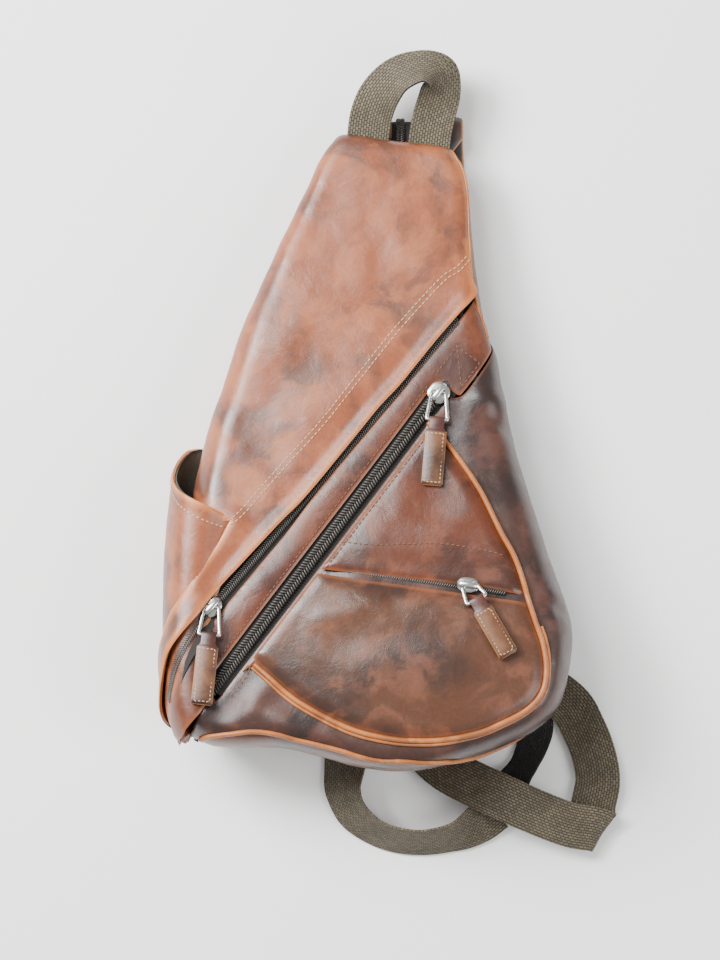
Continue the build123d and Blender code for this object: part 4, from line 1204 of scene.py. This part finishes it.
def settle(piece, held, pressure, frames=10):
    """Simulate a closed cover with air pressure, held at some vertices, and keep the result."""
    pins = piece.vertex_groups.new(name="sewn")
    pins.add([int(i) for i in held], 1.0, "REPLACE")
    cloth = piece.modifiers.new("cover", "CLOTH")
    cloth.settings.quality = 6
    cloth.settings.mass = 0.25
    cloth.settings.tension_stiffness = 40
    cloth.settings.compression_stiffness = 40
    cloth.settings.bending_stiffness = 8
    cloth.settings.use_pressure = True
    cloth.settings.uniform_pressure_force = pressure
    cloth.settings.vertex_group_mass = "sewn"
    cloth.settings.effector_weights.gravity = 0.0
    cloth.point_cache.frame_start, cloth.point_cache.frame_end = 1, frames
    scene = bpy.context.scene
    for frame_number in range(1, frames + 1):
        scene.frame_set(frame_number)
        bpy.context.view_layer.update()
    apply_modifiers(piece)
    scene.frame_set(1)
    print(piece.name, "settled in", frames, "frames")
    return piece


def slab(name, outline, low_z, high_z, rounding, material, step=4.5):
    """A closed padded slab over a flat outline, thin at its sewn edge."""
    edge = resample(outline, 4.0)
    lowest, highest = edge.min(0), edge.max(0)
    rows = enumerate(np.arange(lowest[1], highest[1], step * 0.87))
    grid = np.array([(x + (r % 2) * step / 2, y) for r, y in rows
                     for x in np.arange(lowest[0], highest[0], step)])
    grid = grid[inside_loop(grid, edge)]
    grid = grid[edge_distance(grid, edge) > step * 0.6]
    seeds = [Vector(p) for p in np.vstack([edge, grid])]
    made = geometry.delaunay_2d_cdt(seeds, [], [list(range(len(edge)))], 1, 1e-5)
    flat = np.array([(v.x, v.y) for v in made[0]])
    away = edge_distance(flat, edge)
    share = np.sqrt(1 - (1 - (away / rounding).clip(0, 1)) ** 2)
    middle, half = (low_z + high_z) / 2, (high_z - low_z) / 2
    quilt = 0.35 * waves(flat, 24, 2.0) * share
    count = len(flat)
    bottom = np.column_stack([flat, middle - half * (0.25 + 0.75 * share) + quilt.clip(0, 1)])
    top = np.column_stack([flat, middle + half * (0.25 + 0.75 * share) + quilt])
    faces = [tuple(f) for f in made[2]]
    rim = [i for i in range(count) if away[i] < 1e-4]
    centre = flat[rim].mean(0)
    order = sorted(rim, key=lambda i: edge_index(flat[i], edge))
    walls = [(a, b, b + count, a + count) for a, b in zip(order, order[1:] + order[:1])]
    under_side = [f[::-1] for f in faces]
    upper_side = [tuple(i + count for i in f) for f in faces]
    piece = make_mesh(name, np.vstack([bottom, top]), under_side + upper_side + walls)
    fix = bmesh.new()
    fix.from_mesh(piece.data)
    bmesh.ops.recalc_face_normals(fix, faces=fix.faces)
    fix.to_mesh(piece.data)
    fix.free()
    print(name, "slab with", len(piece.data.polygons), "faces about", centre.round())
    piece.data.materials.append(material)
    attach(piece, "bag")
    return piece, order + [i + count for i in order]


def edge_index(point, edge):
    """Which edge sample a point is."""
    return int(((edge - point) ** 2).sum(1).argmin())


back_outline = edge_points[::3] - edge_out[::3] * (TUCK - 0.5)
back, back_rim = slab("back_panel_padding", back_outline, 7.35, 12.6, 9.0, BACK_CLOTH)
settle(back, back_rim, 0.35)
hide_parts("back_panel")

FOLD_Y, FOLD_Z = 424.0, 10.5


def fold_path(height, start, end, spacing=5.0):
    """The straps' side view: a floor run, a half turn and a short run back, at a cloth height."""
    radius = FOLD_Z - height
    run = [(y, height) for y in np.arange(start, FOLD_Y, spacing)]
    turn = [(FOLD_Y + radius * math.sin(a), FOLD_Z - radius * math.cos(a))
            for a in np.linspace(0, math.pi, 13)]
    back_run = [(y, 2 * FOLD_Z - height) for y in np.arange(FOLD_Y - spacing, end, -spacing)]
    return np.array(run + turn + back_run)


def shoulder_strap(name, middle_x, narrow, shift):
    """A padded strap along the fold, with a flat sewn edge."""
    path = fold_path(3.6, 107.0, 405.0)
    along = unit(np.gradient(path, axis=0))
    normal = np.stack([-along[:, 1], along[:, 0]], 1)
    turn = np.linspace(0, 2 * math.pi, 28, endpoint=False)
    sections, held = [], []
    run = np.concatenate([[0], np.cumsum(np.linalg.norm(np.diff(path, axis=0), axis=1))])
    for i, (y, z) in enumerate(path):
        top = step(np.array([run[i]]), run[-1] - 75, run[-1] - 40)[0]
        tip = min(1.0, 0.55 + 0.45 * min(run[i], run[-1] - run[i]) / 10)
        half = (19.0 - narrow * top) * tip
        thick = 3.25 * min(1.0, 0.6 + 0.4 * min(run[i], run[-1] - run[i]) / 6)
        c, s = np.cos(turn), np.sin(turn)
        a = np.sign(c) * abs(c) ** 0.45 * half
        b = np.sign(s) * abs(s) ** 0.7 * thick
        sections.append(np.column_stack([middle_x + shift * top + a, y + normal[i, 0] * b,
                                         z + normal[i, 1] * b]))
        held += [i * 28, i * 28 + 14]
    strap = solid_from(name, sections, "bag", STRAP_LEATHER)
    end_ring = list(range(28)) + [(len(path) - 1) * 28 + k for k in range(28)]
    worn = strap.data.attributes.new("edge_mm", "FLOAT", "POINT")
    reach = np.tile(19 * (1 - abs(np.cos(turn)) ** 0.45), len(path))
    worn.data.foreach_set("value", reach.astype(np.float32))
    settle(strap, held + end_ring, 0.3)
    return strap


left_strap = shoulder_strap("left_shoulder_strap", -5.35, 7.0, 6.5)
right_strap = shoulder_strap("right_shoulder_strap", 43.35, 2.0, 0.5)
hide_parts("shoulder_strap_left")
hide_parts("shoulder_strap_right")

STRAP_ZIP_X = 19.0
tape_path = fold_path(4.2, 108, 406, 3.0)
tape_grid = np.array([(STRAP_ZIP_X + x, y, z) for y, z in tape_path for x in (-8.5, -5, -2, 0, 2, 5, 8.5)])
tape_faces = [(i * 7 + k, i * 7 + k + 1, (i + 1) * 7 + k + 1, (i + 1) * 7 + k)
              for i in range(len(tape_path) - 1) for k in range(6)]
strap_tape = make_mesh("strap_zip_tape_cloth", tape_grid, tape_faces)
thicken(strap_tape, 0.8, 0)
strap_tape.data.materials.append(TAPE)
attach(strap_tape, "bag")
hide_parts("strap_zip_tape", "strap_zip_coil_left", "strap_zip_coil_right")
tooth_path = fold_path(2.7, 108, 406, 3.0)
tooth_along = unit(np.gradient(tooth_path, axis=0))
tooth_up = np.column_stack([np.zeros(len(tooth_path)), tooth_along[:, 1], -tooth_along[:, 0]])
for side in (1, -1):
    tooth = small_piece("strap_zip_tooth", (0.62, 1.6, 1.2))
    for v in tooth.data.vertices:
        v.co.x -= 0.45 * side * v.co.y
    line = np.column_stack([np.full(len(tooth_path), STRAP_ZIP_X + side * 1.35), tooth_path])
    line[:, 1:] += tooth_along * (0.75 if side > 0 else 0)
    row_name = "strap_zip_teeth_" + ("right" if side > 0 else "left")
    strap_teeth = set_along(row_name, line, tooth_up, tooth, 1.5, TOOTH)
print("shoulder straps:", left_strap.name, right_strap.name)

# %% [markdown]
# The buckles, the sewn tabs and the strap zip's slider have their true shape in the CAD model, so
# they only take a finish.
# %% finishes for CAD pieces
for node, material in (("left_buckle", PLASTIC), ("right_buckle", PLASTIC),
                       ("left_anchor_tab", STRAP_LEATHER), ("right_anchor_tab", STRAP_LEATHER),
                       ("strap_zip_slider", NICKEL)):
    mesh = bpy.data.objects[node].data
    mesh.materials.clear()
    mesh.materials.append(material)

# %% [markdown]
# ## Floor, light and camera
# A pale floor and broad soft lamps, as on a product table. The camera looks almost straight down.
# %% stage
floor_mesh = bpy.data.meshes.new("floor")
floor_mesh.from_pydata([(-3, -3, 0), (3, -3, 0), (3, 3, 0), (-3, 3, 0)], [], [(0, 1, 2, 3)])
floor = bpy.data.objects.new("floor", floor_mesh)
scene_collection.objects.link(floor)
floor_material, _, floor_shader = new_material("white_paper_floor")
floor_shader.inputs["Base Color"].default_value = hexa("#fbfbfa")
floor_shader.inputs["Roughness"].default_value = 0.9
floor_mesh.materials.append(floor_material)


def lamp(name, place, size, power, aim=(0, 0, 0), color=(1, 1, 1)):
    """A square soft box aimed at a point."""
    light = bpy.data.lights.new(name, "AREA")
    light.shape, light.size, light.energy, light.color = "SQUARE", size, power, color
    holder = bpy.data.objects.new(name, light)
    scene_collection.objects.link(holder)
    holder.location = place
    holder.rotation_euler = (Vector(aim) - Vector(place)).to_track_quat("-Z", "Y").to_euler()
    return holder


lamp("key_window", (-1.5, 0.9, 1.5), 0.9, 118)
lamp("fill_window", (1.6, -0.6, 1.5), 1.2, 30)
lamp("overhead_strip", (-0.75, 0.95, 2.0), 0.7, 36)
world = bpy.data.worlds.new("pale_room")
world.use_nodes = True
world.node_tree.nodes["Background"].inputs[0].default_value = (1, 1, 1, 1)
world.node_tree.nodes["Background"].inputs[1].default_value = 0.62
bpy.context.scene.world = world

CAMERA_HEIGHT = 3000.0
EYE_BELOW_CENTRE = 40.0
VIEW_CENTRE = np.array([-7.86, 191.26, 60.0])
SPAN_AT_CENTRE = 628.8
camera_data = bpy.data.cameras.new("camera")
camera = bpy.data.objects.new("camera", camera_data)
scene_collection.objects.link(camera)
eye = VIEW_CENTRE + [0, -EYE_BELOW_CENTRE, CAMERA_HEIGHT]
camera.location = to_frame(eye)
camera.rotation_euler = (Vector(VIEW_CENTRE) - Vector(eye)).to_track_quat("-Z", "Y").to_euler()
camera_data.sensor_fit = "VERTICAL"
camera_data.angle_y = 2 * math.atan(SPAN_AT_CENTRE / 2 / np.linalg.norm(eye - VIEW_CENTRE))
bpy.context.scene.camera = camera
print("camera:", camera.name, "at", tuple(round(v, 3) for v in camera.location))
